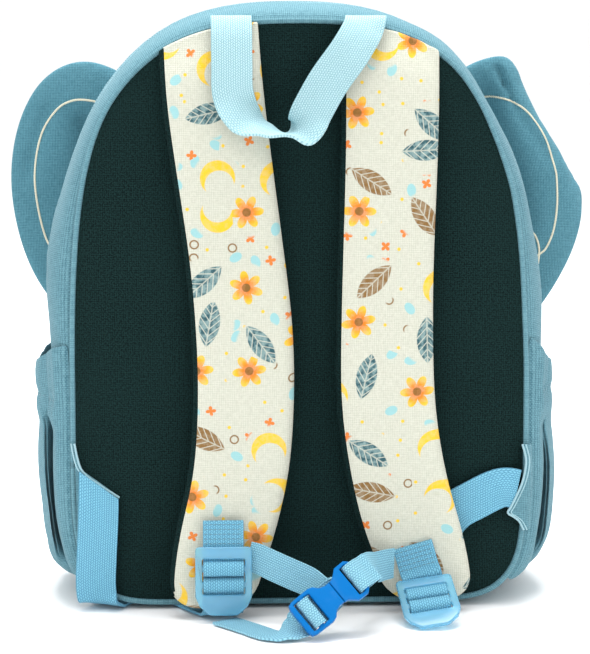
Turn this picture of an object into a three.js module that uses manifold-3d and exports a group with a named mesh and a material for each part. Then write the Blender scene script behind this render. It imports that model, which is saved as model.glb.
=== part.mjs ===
// A child's animal backpack, standing on its base and seen from its straps' side.
// Millimetres. +Z is up, -Y is the side with the shoulder straps, +X is to the right when the straps are
// looked at. The origin is on the floor, under the middle of the base.
//
// Every cloth piece is a slab: a grid of points on its outer face, the same grid on its inner face, and the
// edges that join the two. Grids come from short tables whose lengths are shares of the named sizes below.

import * as THREE from "three";
import { mergeVertices } from "three/addons/utils/BufferGeometryUtils.js";
import Module from "manifold-3d";

const wasm = await Module();
wasm.setup();

// Bag body
const PANEL_HEIGHT = 292;
const PANEL_HALF_WIDTH = 112.5;
const BAG_DEPTH = 100;
const BASE_LIFT = 3.6;
const BULGE = 16;
const CLOTH = 2;
const PANEL_PAD = 4;
const PANEL_EDGE = 1.7;
const BACK_CROWN = 3;
const FRONT_CROWN = 15;
const GAP = 0.3;

// Main zip, along the arch of the gusset
const ZIP_TAPE = 1.5;
const ZIP_COIL_WIDTH = 5;
const ZIP_COIL_RISE = 1.2;
const ZIP_END_HEIGHT = 128;

// Ears
const EAR_WIDTH = 61;
const EAR_HEIGHT = 143;
const EAR_FOOT = 131;
const EAR_ROOT_X = 88;
const EAR_PAD = 4;
const EAR_EDGE = 1.6;
const FOLD_RADIUS = 4.5;

// Side pockets
const POCKET_TOP = 128;
const POCKET_BOTTOM = 14;
const POCKET_CLOTH = 1.6;
const POCKET_POUCH = { left: 11.5, right: 14 };
const POCKET_DIP = 7;
const HEM_HEIGHT = 20;
const HEM_GATHER = 1.6;

// Shoulder straps
const STRAP_WIDTH = 50;
const STRAP_PAD = 8;
const STRAP_EDGE = 3;
const STRAP_END_HEIGHT = 6;
const STRAP_END_RADIUS = 11;
const STRAP_STANDOFF = 15;

// Webbing, ladder locks and chest buckle
const WEB_WIDTH = 20;
const WEB = 1.4;
const CHEST_WIDTH = 15;
const CHEST_WEB = 1.2;
const LOCK_WIDTH = 28;
const LOCK_LENGTH = 34.5;
const LOCK_PLATE = 2.4;
const LOCK_RAIL = 3.4;
const BUCKLE_LENGTH = 37;
const BUCKLE_WIDTH = 20.5;
const BUCKLE_THICK = 5;
const BUCKLE_LEAN = 25;
const BUCKLE_TURN = 38;
const TAB_CLOTH = 1.5;
const TAB_STANDOFF = 2.3;
const EDGE_ROUND = 0.5;

const BACK_Y = -BAG_DEPTH / 2;
const FRONT_Y = BAG_DEPTH / 2;
const PANEL_TOP = BASE_LIFT + PANEL_HEIGHT;

// Points by how far they stand out behind the back seam: with their height, or how far they lie below
// the panel's top.
const offBack = (x, out, height) => [x, BACK_Y - out, height];
const onSeam = (x, out, below) => [x, BACK_Y - out, PANEL_TOP - below];

const COLOURS = {
  canvas: { color: 0x7fa9b8, roughness: 0.92, metalness: 0 },
  backCanvas: { color: 0x1f3837, roughness: 0.95, metalness: 0 },
  print: { color: 0xe6e3cf, roughness: 0.88, metalness: 0 },
  webbing: { color: 0x8ecbe2, roughness: 0.8, metalness: 0 },
  clearPlastic: { color: 0xd5e8f2, roughness: 0.2, metalness: 0 },
  bluePlastic: { color: 0x0582dc, roughness: 0.35, metalness: 0 },
  zip: { color: 0x5f8795, roughness: 0.7, metalness: 0 },
};

// Half of the back panel's outline, from the middle of the top to the middle of the bottom.
const OUTLINE_ROWS = [
  { across: 0, up: 1 },
  { across: 0.22, up: 0.997 },
  { across: 0.43, up: 0.982 },
  { across: 0.62, up: 0.948 },
  { across: 0.79, up: 0.885 },
  { across: 0.895, up: 0.81 },
  { across: 0.955, up: 0.712 },
  { across: 0.985, up: 0.61 },
  { across: 1, up: 0.48 },
  { across: 1, up: 0.3 },
  { across: 1, up: 0.15 },
  { across: 0.965, up: 0.072 },
  { across: 0.87, up: 0.02 },
  { across: 0.74, up: 0 },
  { across: 0.5, up: 0 },
  { across: 0.25, up: 0 },
];

// The gusset's profile from the back seam to the front seam: how far it stands out, away from the base
// and at the base, which is raised towards the back.
const GUSSET_ROWS = [
  { depth: 0, side: 0, base: 0 },
  { depth: 0.012, side: 0.32, base: 0.04 },
  { depth: 0.06, side: 0.7, base: 0.08 },
  { depth: 0.17, side: 0.95, base: 0.1 },
  { depth: 0.37, side: 1, base: 0.14 },
  { depth: 0.43, side: 1, base: 1 },
  { depth: 0.57, side: 0.99, base: 1 },
  { depth: 0.79, side: 0.9, base: 1 },
  { depth: 0.92, side: 0.64, base: 1 },
  { depth: 0.985, side: 0.32, base: 0.5 },
  { depth: 1, side: 0.04, base: 0.06 },
];

// How the gusset's bulge changes with height: slack at the top, tight at the shoulders, full at the
// sides and drawn in behind the pockets.
const BULGE_ROWS = [
  { up: 0, bulge: 0.45 },
  { up: 0.15, bulge: 0.5 },
  { up: 0.34, bulge: 0.54 },
  { up: 0.415, bulge: 0.68 },
  { up: 0.46, bulge: 0.95 },
  { up: 0.56, bulge: 1 },
  { up: 0.66, bulge: 0.8 },
  { up: 0.76, bulge: 0.52 },
  { up: 0.86, bulge: 0.36 },
  { up: 0.94, bulge: 0.4 },
  { up: 1, bulge: 0.55 },
];
const ZIP_FIRST_ROW = 6;
const OUTLINE_STEPS = 46;

// Each ear's free edge from its top to its foot, as shares of the ear's width and height. The right ear
// is given as it is before its top rolls over to the front.
const EAR_EDGE_ROWS = {
  left: [
    { out: 0.04, up: 0.955 },
    { out: 0.2, up: 0.985 },
    { out: 0.37, up: 0.995 },
    { out: 0.56, up: 0.972 },
    { out: 0.73, up: 0.915 },
    { out: 0.85, up: 0.835 },
    { out: 0.94, up: 0.735 },
    { out: 0.99, up: 0.61 },
    { out: 0.99, up: 0.49 },
    { out: 0.945, up: 0.37 },
    { out: 0.87, up: 0.26 },
    { out: 0.74, up: 0.145 },
    { out: 0.58, up: 0.06 },
    { out: 0.43, up: 0.02 },
  ],
  right: [
    { out: 0.06, up: 0.945 },
    { out: 0.2, up: 0.985 },
    { out: 0.38, up: 1.01 },
    { out: 0.6, up: 1.015 },
    { out: 0.83, up: 0.97 },
    { out: 1.03, up: 0.87 },
    { out: 1.16, up: 0.72 },
    { out: 1.19, up: 0.57 },
    { out: 1.145, up: 0.43 },
    { out: 1.09, up: 0.31 },
    { out: 0.98, up: 0.2 },
    { out: 0.85, up: 0.105 },
    { out: 0.74, up: 0.04 },
    { out: 0.62, up: -0.01 },
  ],
};
const EAR_ROOT = {
  left: { top: 0.915, foot: 0.035 },
  right: { top: 0.905, foot: -0.02 },
};

// How far the pocket's cloth stands off the gusset, across the gusset and up the pocket.
const POCKET_ACROSS = [
  { depth: 0.002, lift: 0 },
  { depth: 0.012, lift: 0.02 },
  { depth: 0.035, lift: 0.14 },
  { depth: 0.065, lift: 0.26 },
  { depth: 0.1, lift: 0.33 },
  { depth: 0.135, lift: 0.3 },
  { depth: 0.165, lift: 0.14 },
  { depth: 0.19, lift: 0.03 },
  { depth: 0.215, lift: 0.1 },
  { depth: 0.255, lift: 0.52 },
  { depth: 0.32, lift: 0.86 },
  { depth: 0.41, lift: 0.97 },
  { depth: 0.48, lift: 1 },
  { depth: 0.56, lift: 0.93 },
  { depth: 0.63, lift: 0.8 },
  { depth: 0.7, lift: 0.84 },
  { depth: 0.77, lift: 0.86 },
  { depth: 0.84, lift: 0.72 },
  { depth: 0.9, lift: 0.44 },
  { depth: 0.95, lift: 0.14 },
  { depth: 0.985, lift: 0 },
];
const POCKET_UP = [
  { up: 0, lift: 0 },
  { up: 0.05, lift: 0.35 },
  { up: 0.15, lift: 0.62 },
  { up: 0.33, lift: 0.88 },
  { up: 0.55, lift: 1 },
  { up: 0.7, lift: 0.97 },
  { up: 0.79, lift: 0.74 },
  { up: 0.84, lift: 0.56 },
  { up: 0.92, lift: 0.52 },
  { up: 1, lift: 0.46 },
];
const POCKET_LEVELS = [0, 0.05, 0.12, 0.24, 0.38, 0.54, 0.68, 0.76, 0.82, 0.91, 1];
const GATHERS = 5;

// Both shoulder straps: the middle line, the width and the standoff from the panel, by share of height.
const STRAP_ROWS = {
  left: [
    { up: 0, middle: -0.388, wide: 0.82, off: 1 },
    { up: 0.05, middle: -0.379, wide: 0.9, off: 0.97 },
    { up: 0.137, middle: -0.33, wide: 1, off: 0.86 },
    { up: 0.236, middle: -0.271, wide: 1, off: 0.72 },
    { up: 0.354, middle: -0.248, wide: 1, off: 0.64 },
    { up: 0.48, middle: -0.254, wide: 1, off: 0.64 },
    { up: 0.61, middle: -0.287, wide: 0.97, off: 0.62 },
    { up: 0.764, middle: -0.34, wide: 0.975, off: 0.52 },
    { up: 0.884, middle: -0.377, wide: 0.98, off: 0.3 },
    { up: 1, middle: -0.397, wide: 0.97, off: 0.03 },
  ],
  right: [
    { up: 0, middle: 0.583, wide: 0.78, off: 0.42 },
    { up: 0.05, middle: 0.556, wide: 0.9, off: 0.46 },
    { up: 0.137, middle: 0.493, wide: 1.03, off: 0.58 },
    { up: 0.236, middle: 0.428, wide: 1.015, off: 0.66 },
    { up: 0.354, middle: 0.382, wide: 0.99, off: 0.66 },
    { up: 0.48, middle: 0.375, wide: 0.96, off: 0.64 },
    { up: 0.61, middle: 0.379, wide: 0.943, off: 0.62 },
    { up: 0.764, middle: 0.391, wide: 0.948, off: 0.52 },
    { up: 0.884, middle: 0.397, wide: 0.963, off: 0.3 },
    { up: 1, middle: 0.399, wide: 0.963, off: 0.03 },
  ],
};
const STRAP_LEVELS = 26;
const STRAP_COLUMNS = [0, 0.06, 0.28, 0.5, 0.72, 0.94, 1];

// A smooth curve through a table's rows, read at one value of the key column.
function valueAt(rows, key, at, column) {
  const last = rows.length - 1;
  const clamped = THREE.MathUtils.clamp(at, rows[0][key], rows[last][key]);
  let i = 0;
  while (i < last - 1 && rows[i + 1][key] < clamped) i++;
  const [k0, k1] = [rows[i][key], rows[i + 1][key]];
  const slope = (n) => {
    const [before, after] = [rows[Math.max(0, n - 1)], rows[Math.min(last, n + 1)]];
    return (after[column] - before[column]) / (after[key] - before[key]);
  };
  const span = k1 - k0;
  const t = (clamped - k0) / span;
  const [t2, t3] = [t * t, t * t * t];
  return (
    (2 * t3 - 3 * t2 + 1) * rows[i][column] +
    (t3 - 2 * t2 + t) * span * slope(i) +
    (3 * t2 - 2 * t3) * rows[i + 1][column] +
    (t3 - t2) * span * slope(i + 1)
  );
}

// A closed geometry from triangles of points: shared points are merged and the faces point out.
function closedGeometry(triangles) {
  const index = new Map();
  const positions = [];
  const idOf = (p) => {
    const key = [p.x, p.y, p.z].map((c) => Math.round(c * 1e4)).join();
    if (!index.has(key)) {
      index.set(key, index.size);
      positions.push(p.x, p.y, p.z);
    }
    return index.get(key);
  };
  const faces = triangles
    .map((triangle) => triangle.map(idOf))
    .filter(([a, b, c]) => a !== b && b !== c && a !== c);
  const corner = (i) => new THREE.Vector3().fromArray(positions, 3 * i);
  const volume = faces.reduce(
    (sum, [a, b, c]) => sum + corner(a).dot(corner(b).cross(corner(c))),
    0,
  );
  if (volume < 0) faces.forEach((face) => face.reverse());
  const geometry = new THREE.BufferGeometry();
  geometry.setAttribute("position", new THREE.Float32BufferAttribute(positions, 3));
  geometry.setIndex(faces.flat());
  return geometry;
}

// A slab between two grids of points, outer[i][j] and inner[i][j]. Cells that keep() leaves out are open,
// and every edge between a cell that is kept and one that isn't gets a wall. wrap closes the grid in i.
function slab(outer, inner, { wrap = false, keep = () => true } = {}) {
  const rows = outer.length;
  const cellRows = wrap ? rows : rows - 1;
  const cellColumns = outer[0].length - 1;
  const next = (i) => (i + 1) % rows;
  const kept = (i, j) => {
    const inside = (wrap || (i >= 0 && i < cellRows)) && j >= 0 && j < cellColumns;
    return inside && keep((i + cellRows) % cellRows, j);
  };
  const triangles = [];
  const quad = (a, b, c, d) => triangles.push([a, b, c], [a, c, d]);
  for (let i = 0; i < cellRows; i++) {
    for (let j = 0; j < cellColumns; j++) {
      if (!kept(i, j)) continue;
      const n = next(i);
      quad(outer[i][j], outer[n][j], outer[n][j + 1], outer[i][j + 1]);
      quad(inner[i][j + 1], inner[n][j + 1], inner[n][j], inner[i][j]);
      if (!kept(i, j - 1)) quad(outer[n][j], outer[i][j], inner[i][j], inner[n][j]);
      if (!kept(i, j + 1)) {
        quad(outer[i][j + 1], outer[n][j + 1], inner[n][j + 1], inner[i][j + 1]);
      }
      if (!kept(i - 1, j)) quad(outer[i][j], outer[i][j + 1], inner[i][j + 1], inner[i][j]);
      if (!kept(i + 1, j)) quad(outer[n][j + 1], outer[n][j], inner[n][j], inner[n][j + 1]);
    }
  }
  return closedGeometry(triangles);
}

// The unit normals of a grid of points.
function gridNormals(grid, wrap = false) {
  const rows = grid.length;
  const columns = grid[0].length;
  const rowAt = (i) => (wrap ? (i + rows) % rows : THREE.MathUtils.clamp(i, 0, rows - 1));
  return grid.map((row, i) =>
    row.map((_, j) => {
      const along = grid[rowAt(i + 1)][j].clone().sub(grid[rowAt(i - 1)][j]);
      const across = row[Math.min(columns - 1, j + 1)].clone().sub(row[Math.max(0, j - 1)]);
      return across.cross(along).normalize();
    }),
  );
}

// A grid moved along its normals.
function movedGrid(grid, normals, by) {
  return grid.map((row, i) => row.map((p, j) => p.clone().addScaledVector(normals[i][j], by)));
}

function makeMesh(name, geometry, finish) {
  const mesh = new THREE.Mesh(geometry, new THREE.MeshStandardMaterial(finish));
  mesh.name = name;
  return mesh;
}

// The outline of the bag as a closed curve in the XZ plane, clockwise from the middle of the top.
const outlineCurve = new THREE.CatmullRomCurve3(
  [
    ...OUTLINE_ROWS,
    { across: 0, up: 0 },
    ...OUTLINE_ROWS.slice(1)
      .reverse()
      .map(({ across, up }) => ({ across: -across, up })),
  ].map(
    ({ across, up }) =>
      new THREE.Vector3(across * PANEL_HALF_WIDTH, 0, BASE_LIFT + up * PANEL_HEIGHT),
  ),
  true,
  "centripetal",
);

// One point of the outline with its outward direction.
function outlineAt(share) {
  const wrapped = ((share % 1) + 1) % 1;
  const point = outlineCurve.getPoint(wrapped);
  point.z = Math.max(BASE_LIFT, point.z);
  const tangent = outlineCurve.getTangent(wrapped);
  const outward = new THREE.Vector3(tangent.z, 0, -tangent.x).normalize();
  if (outward.dot(point.clone().sub(new THREE.Vector3(0, 0, PANEL_HEIGHT / 2))) < 0) outward.negate();
  return { point, outward };
}

// The outline's share on the right side at one height.
function shareAtHeight(height) {
  let [low, high] = [0, 0.5];
  for (let step = 0; step < 40; step++) {
    const middle = (low + high) / 2;
    if (outlineAt(middle).point.z > height) low = middle;
    else high = middle;
  }
  return (low + high) / 2;
}

// A point of the gusset's outer face: share runs round the outline and depth from back to front.
function gussetPoint(share, depth, extra = 0) {
  const { point, outward } = outlineAt(share);
  const at = (column) => valueAt(GUSSET_ROWS, "depth", depth, column);
  const up = (point.z - BASE_LIFT) / PANEL_HEIGHT;
  const swell = BULGE * valueAt(BULGE_ROWS, "up", up, "bulge") * at("side");
  const flat = outward.z < 0 ? outward.z ** 2 : 0;
  const stands = THREE.MathUtils.lerp(swell, BASE_LIFT * at("base"), flat) + extra;
  const place = point.clone().addScaledVector(outward, stands);
  return place
    .setZ(Math.max(0, place.z))
    .setY(THREE.MathUtils.lerp(BACK_Y + PANEL_EDGE + GAP, FRONT_Y - PANEL_EDGE - GAP, depth));
}

const gussetGrid = Array.from({ length: OUTLINE_STEPS }, (_, i) =>
  GUSSET_ROWS.map(({ depth }) => gussetPoint(i / OUTLINE_STEPS, depth)),
);

// The zip's slot covers the cells of one depth row whose outline lies above the zip's ends.
function inZip(i, j) {
  const heights = [i, i + 1].map((n) => outlineAt(n / OUTLINE_STEPS).point.z);
  return j === ZIP_FIRST_ROW && Math.min(...heights) > ZIP_END_HEIGHT;
}

function outward(grid, normals) {
  const middle = new THREE.Vector3(0, 0, PANEL_HEIGHT / 2);
  const [i, j] = [0, Math.floor(grid[0].length / 2)];
  return normals[i][j].dot(grid[i][j].clone().sub(middle)) > 0 ? 1 : -1;
}

function makeGusset() {
  const normals = gridNormals(gussetGrid, true);
  const inner = movedGrid(gussetGrid, normals, -CLOTH * outward(gussetGrid, normals));
  return slab(gussetGrid, inner, { wrap: true, keep: (i, j) => !inZip(i, j) });
}

// The tape fills the slot with a gap all round, and the coil is raised along its middle.
function makeZip() {
  const steps = Array.from({ length: OUTLINE_STEPS }, (_, n) => n - OUTLINE_STEPS / 2).filter((i) =>
    inZip((i + OUTLINE_STEPS) % OUTLINE_STEPS, ZIP_FIRST_ROW),
  );
  const [first, last] = [steps[0], steps[steps.length - 1] + 1];
  const [from, to] = [ZIP_FIRST_ROW, ZIP_FIRST_ROW + 1].map((row) => GUSSET_ROWS[row].depth);
  const gap = (2 * GAP) / BAG_DEPTH;
  const coil = ZIP_COIL_WIDTH / BAG_DEPTH / 2;
  const middle = (from + to) / 2;
  const depths = [from + gap, middle - coil - gap / 4, middle - coil, middle + coil];
  depths.push(middle + coil + gap / 4, to - gap);
  const endGap = 0.08;
  const rows = Array.from({ length: last - first + 1 }, (_, n) => first + n);
  const shares = rows.map((i) => {
    const inset = i === first ? endGap : i === last ? -endGap : 0;
    return (i + inset) / OUTLINE_STEPS;
  });
  const straight = (share, depth) => {
    const onRow = (row) => gussetPoint(share, GUSSET_ROWS[row].depth);
    const mix = (depth - from) / (to - from);
    return onRow(ZIP_FIRST_ROW).lerp(onRow(ZIP_FIRST_ROW + 1), mix);
  };
  const face = shares.map((share) => depths.map((depth) => straight(share, depth)));
  const normals = gridNormals(face);
  const sign = normals[Math.floor(rows.length / 2)][0].z > 0 ? 1 : -1;
  const raised = (j) => (j === 2 || j === 3 ? ZIP_COIL_RISE : 0);
  const outer = face.map((row, i) =>
    row.map((p, j) => p.clone().addScaledVector(normals[i][j], sign * raised(j))),
  );
  return slab(outer, movedGrid(face, normals, -sign * ZIP_TAPE));
}

// A padded panel that closes the gusset's back or front: rings of the outline drawn in to its middle.
function makePanel(seamY, crown, facing) {
  const rings = [
    { size: 1, swell: 0, deep: PANEL_EDGE },
    { size: 0.94, swell: 0.36, deep: PANEL_EDGE },
    { size: 0.88, swell: 0.55, deep: PANEL_PAD },
    { size: 0.6, swell: 0.88, deep: PANEL_PAD },
    { size: 0, swell: 1, deep: PANEL_PAD },
  ];
  const middle = new THREE.Vector3(0, 0, BASE_LIFT + PANEL_HEIGHT / 2);
  const face = (inner) =>
    Array.from({ length: OUTLINE_STEPS }, (_, i) => {
      const edge = outlineAt(i / OUTLINE_STEPS);
      const seam = edge.point.clone().addScaledVector(edge.outward, -GAP);
      return rings.map(({ size, swell, deep }) =>
        middle
          .clone()
          .lerp(seam, size)
          .setY(seamY + facing * (crown * swell - (inner ? deep : 0))),
      );
    });
  return slab(face(false), face(true), { wrap: true });
}

// The ear's flat shape at (out, down): out runs from the seam to the free edge, down from top to foot.
function earFlat(sideName, out, down) {
  const { top, foot } = EAR_ROOT[sideName];
  const height = EAR_FOOT + EAR_HEIGHT * THREE.MathUtils.lerp(top, foot, down);
  const seam = outlineAt(shareAtHeight(height));
  const root = seam.point.clone();
  const edge = new THREE.CatmullRomCurve3(
    EAR_EDGE_ROWS[sideName].map(
      (row) =>
        new THREE.Vector3(EAR_ROOT_X + row.out * EAR_WIDTH, 0, EAR_FOOT + row.up * EAR_HEIGHT),
    ),
  ).getPoint(down);
  return root.lerp(edge, out);
}

// The right ear's fold: a line on the flat ear, beyond which the cloth rolls over to the front.
const FOLD = {
  start: new THREE.Vector3(EAR_ROOT_X + 0.48 * EAR_WIDTH, 0, EAR_FOOT + 1.0 * EAR_HEIGHT),
  end: new THREE.Vector3(EAR_ROOT_X + 1.13 * EAR_WIDTH, 0, EAR_FOOT + 0.46 * EAR_HEIGHT),
};

// A point at a height above the flat ear's middle layer, rolled over the fold line.
function foldedEar(flat, lift) {
  const along = FOLD.end.clone().sub(FOLD.start).normalize();
  const beyond = new THREE.Vector3(-along.z, 0, along.x);
  const past = flat.clone().sub(FOLD.start).dot(beyond);
  if (past <= 0) return flat.clone().setY(flat.y + lift);
  const turn = Math.min(past / FOLD_RADIUS, Math.PI);
  const straight = past - turn * FOLD_RADIUS;
  const radius = FOLD_RADIUS - lift;
  const reach = radius * Math.sin(turn) + straight * Math.cos(turn);
  const rise = FOLD_RADIUS - radius * Math.cos(turn) + straight * Math.sin(turn);
  return flat
    .clone()
    .addScaledVector(beyond, reach - past)
    .setY(flat.y + rise);
}

const EAR_STEPS_OUT = [0, 0.12, 0.34, 0.54, 0.68, 0.8, 0.92, 1];
const EAR_STEPS_DOWN = 16;

function makeEar(sideName) {
  const folded = sideName === "right";
  const mirror = folded ? 1 : -1;
  const middle = FRONT_Y + GAP + EAR_EDGE / 2;
  const layer = (facing) =>
    Array.from({ length: EAR_STEPS_DOWN + 1 }, (_, i) => {
      const down = i / EAR_STEPS_DOWN;
      return EAR_STEPS_OUT.map((out) => {
        const edge = Math.min(out, 1 - out, 2 * down, 2 * (1 - down)) * 8;
        const thick = THREE.MathUtils.lerp(EAR_EDGE, EAR_PAD, Math.min(1, edge));
        const flat = earFlat(sideName, out, down).setY(middle + 3 * out * out);
        const lift = (facing * thick) / 2;
        const point = folded ? foldedEar(flat, lift) : flat.setY(flat.y + lift);
        return point.setX(mirror * point.x);
      });
    });
  return slab(layer(1), layer(-1));
}

// A side pocket: cloth that stands off the gusset, gathered at its elastic hem and open at its top.
function makePocket(sideName) {
  const mirror = sideName === "right" ? 1 : -1;
  const [topShare, footShare] = [POCKET_TOP, POCKET_BOTTOM].map(shareAtHeight);
  const columns = POCKET_ACROSS.length - 1;
  const hemShare = 1 - HEM_HEIGHT / (POCKET_TOP - POCKET_BOTTOM);
  const face = (inset) =>
    POCKET_LEVELS.map((up) =>
      POCKET_ACROSS.map(({ depth, lift: across }, j) => {
        const pouch = across * valueAt(POCKET_UP, "up", up, "lift");
        const wave = Math.cos((2 * Math.PI * GATHERS * j) / columns);
        const atEdge = Math.min(1, (4 * Math.min(j, columns - j)) / columns);
        const inHem = THREE.MathUtils.smoothstep(up, hemShare - 0.12, hemShare);
        const lift = POCKET_POUCH[sideName] * pouch + HEM_GATHER * (wave - 1) * -0.5 * inHem * atEdge;
        const dip = shareAtHeight(POCKET_TOP - POCKET_DIP * Math.sin(Math.PI * depth)) - topShare;
        const share = THREE.MathUtils.lerp(footShare, topShare + dip, up);
        const point = gussetPoint(share, depth, GAP + POCKET_CLOTH + lift - inset);
        return point.setX(mirror * point.x);
      }),
    );
  return slab(face(0), face(POCKET_CLOTH));
}

// One height of a strap: its two edges, and the Y of its back face.
function strapSection(sideName, height) {
  const up = (height - BASE_LIFT) / PANEL_HEIGHT;
  const at = (column) => valueAt(STRAP_ROWS[sideName], "up", up, column);
  const aboveEnd = height - STRAP_END_HEIGHT;
  const round = Math.max(0, STRAP_END_RADIUS - aboveEnd) / STRAP_END_RADIUS;
  const inset = STRAP_END_RADIUS * (1 - Math.sqrt(Math.max(0, 1 - round * round)));
  const half = (at("wide") * STRAP_WIDTH) / 2 - Math.min(inset, STRAP_END_RADIUS * 0.94);
  return {
    left: at("middle") * PANEL_HALF_WIDTH - half,
    right: at("middle") * PANEL_HALF_WIDTH + half,
    back: BACK_Y - GAP - STRAP_STANDOFF * at("off"),
  };
}

// The Y of a strap's front face along its middle.
const strapFaceY = (sideName, height) => strapSection(sideName, height).back - STRAP_PAD;

function makeStrap(sideName) {
  const face = (front) =>
    Array.from({ length: STRAP_LEVELS + 1 }, (_, i) => {
      const level = Math.sin(((i / STRAP_LEVELS) * Math.PI) / 2) ** 2;
      return STRAP_COLUMNS.map((column) => {
        const share = THREE.MathUtils.lerp(0, 1, level);
        const bottom = STRAP_END_HEIGHT;
        const topOf = (x) => strapTop(x) - GAP;
        const guess = THREE.MathUtils.lerp(bottom, PANEL_HEIGHT, share);
        const near = strapSection(sideName, guess);
        const x = THREE.MathUtils.lerp(near.left, near.right, column);
        const height = THREE.MathUtils.lerp(bottom, topOf(x), share);
        const section = strapSection(sideName, height);
        const sewn = THREE.MathUtils.smoothstep(1 - share, 0, 0.08);
        const edge = column === 0 || column === 1;
        const full = edge ? STRAP_EDGE : STRAP_PAD;
        const thick = THREE.MathUtils.lerp(STRAP_EDGE, full, sewn);
        const y = section.back - (front ? thick : edge ? 0.6 : 0);
        return new THREE.Vector3(x, y, height);
      });
    });
  return slab(face(true), face(false));
}

// The height of the panel's top edge at one x.
function strapTop(x) {
  const share = Math.abs(x) / PANEL_HALF_WIDTH;
  return BASE_LIFT + PANEL_HEIGHT * valueAt(OUTLINE_ROWS.slice(0, 6), "across", share, "up");
}

// A flat strip through rows of {at, across}: at is its middle line and across the way its width points.
// The first row's cut is the slope of the strip's first end.
function webbing(rows, width, thickness, steps) {
  const curve = new THREE.CatmullRomCurve3(
    rows.map(({ at }) => new THREE.Vector3(...at)),
    false,
    "centripetal",
  );
  const layer = (facing) =>
    Array.from({ length: steps + 1 }, (_, n) => {
      const t = n / steps;
      const place = t * (rows.length - 1);
      const i = Math.min(rows.length - 2, Math.floor(place));
      const mix = THREE.MathUtils.smoothstep(place - i, 0, 1);
      const tangent = curve.getTangent(t);
      const across = new THREE.Vector3(...rows[i].across)
        .normalize()
        .lerp(new THREE.Vector3(...rows[i + 1].across).normalize(), mix);
      across.addScaledVector(tangent, -across.dot(tangent)).normalize();
      const normal = tangent.clone().cross(across).normalize();
      const middle = curve.getPoint(t).addScaledVector(normal, (facing * thickness) / 2);
      const shear = n === 0 ? (rows[0].cut ?? 0) : 0;
      return [-1, 1].map((side) =>
        middle
          .clone()
          .addScaledVector(across, (side * width) / 2)
          .addScaledVector(tangent, (side * shear * width) / 2),
      );
    });
  return slab(layer(1), layer(-1));
}

// The carry handle: a webbing loop sewn into the top seam, hanging over the straps with half a twist.
const HANDLE_ROWS = [
  { at: onSeam(-33, -0.6, -1.6), across: [1, 0, 0] },
  { at: onSeam(-33, 4.5, -1.6), across: [1, 0, 0] },
  { at: onSeam(-33, 10.5, 5.6), across: [1, 0, 0] },
  { at: onSeam(-33, 16, 21.6), across: [1, 0, 0] },
  { at: onSeam(-32.5, 19.5, 35.6), across: [1, 0, 0.03] },
  { at: onSeam(-27.5, 22, 46.1), across: [0.85, 0.45, 0.4] },
  { at: onSeam(-17, 23.5, 52.1), across: [0.3, 0.95, 0.2] },
  { at: onSeam(-6, 24, 54.6), across: [-0.3, 0.95, 0] },
  { at: onSeam(1, 23.5, 52.6), across: [-0.8, 0.55, 0.3] },
  { at: onSeam(5.5, 22.5, 43.6), across: [-0.9, 0.1, 0.43] },
  { at: onSeam(13.5, 20.5, 29.6), across: [-0.87, 0, 0.5] },
  { at: onSeam(24.5, 16.5, 14.6), across: [-0.86, 0, 0.5] },
  { at: onSeam(31, 10.5, 4.1), across: [-0.93, 0, 0.3] },
  { at: onSeam(33, 4.5, -1.6), across: [-1, 0, 0] },
  { at: onSeam(33, -0.6, -1.6), across: [-1, 0, 0] },
];

// Cloth corners sewn into the side seams, which hold the lower webbing.
const TAB_CORNERS = {
  left: [
    [-112, 87],
    [-108.5, 72.5],
    [-89.5, 58.5],
    [-97, 48],
    [-111, 36],
  ],
  right: [
    [112, 82],
    [109, 73],
    [105, 55],
    [108, 46],
    [112, 41],
  ],
};

// A flat plate with its outline in the XZ plane, from one Y towards the viewer of the straps.
function makeTab(corners) {
  const shape = new THREE.Shape(corners.map(([x, z]) => new THREE.Vector2(x, z)));
  const geometry = new THREE.ExtrudeGeometry(shape, { depth: TAB_CLOTH, bevelEnabled: false });
  geometry.rotateX(Math.PI / 2);
  return geometry.translate(0, BACK_Y - TAB_STANDOFF, 0);
}

// A frame of three directions at a point: u across a piece of hardware, v along it, w out of its face.
function makeFrame(origin, along, across) {
  const v = along.clone().normalize();
  const u = across.clone().addScaledVector(v, -across.dot(v)).normalize();
  const w = v.clone().cross(u).normalize();
  return { origin, u, v, w };
}
const placeIn = (frame, u, v, w) =>
  frame.origin
    .clone()
    .addScaledVector(frame.u, u)
    .addScaledVector(frame.v, v)
    .addScaledVector(frame.w, w);

const LOCK_FRAMES = {
  left: makeFrame(
    new THREE.Vector3(...offBack(-38.3, 27.6, 38.3)),
    new THREE.Vector3(0, -0.03, -1),
    new THREE.Vector3(1, 0, 0),
  ),
  right: makeFrame(
    new THREE.Vector3(...offBack(61.5, 19.6, 18)),
    new THREE.Vector3(0.1, -0.87, -0.48),
    new THREE.Vector3(1, 0, 0.12),
  ),
};

function roundedRect(x0, y0, x1, y1, radius) {
  const path = new THREE.Path();
  path.moveTo(x0 + radius, y0);
  path.lineTo(x1 - radius, y0);
  path.quadraticCurveTo(x1, y0, x1, y0 + radius);
  path.lineTo(x1, y1 - radius);
  path.quadraticCurveTo(x1, y1, x1 - radius, y1);
  path.lineTo(x0 + radius, y1);
  path.quadraticCurveTo(x0, y1, x0, y1 - radius);
  path.lineTo(x0, y0 + radius);
  path.quadraticCurveTo(x0, y0, x0 + radius, y0);
  return path;
}

// A geometry whose X, Y and Z are a frame's u, v and -w, put in its place.
function intoFrame(geometry, { origin, u, v, w }) {
  const basis = new THREE.Matrix4().makeBasis(u, v, w.clone().negate());
  return geometry.applyMatrix4(basis.setPosition(origin));
}

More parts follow.
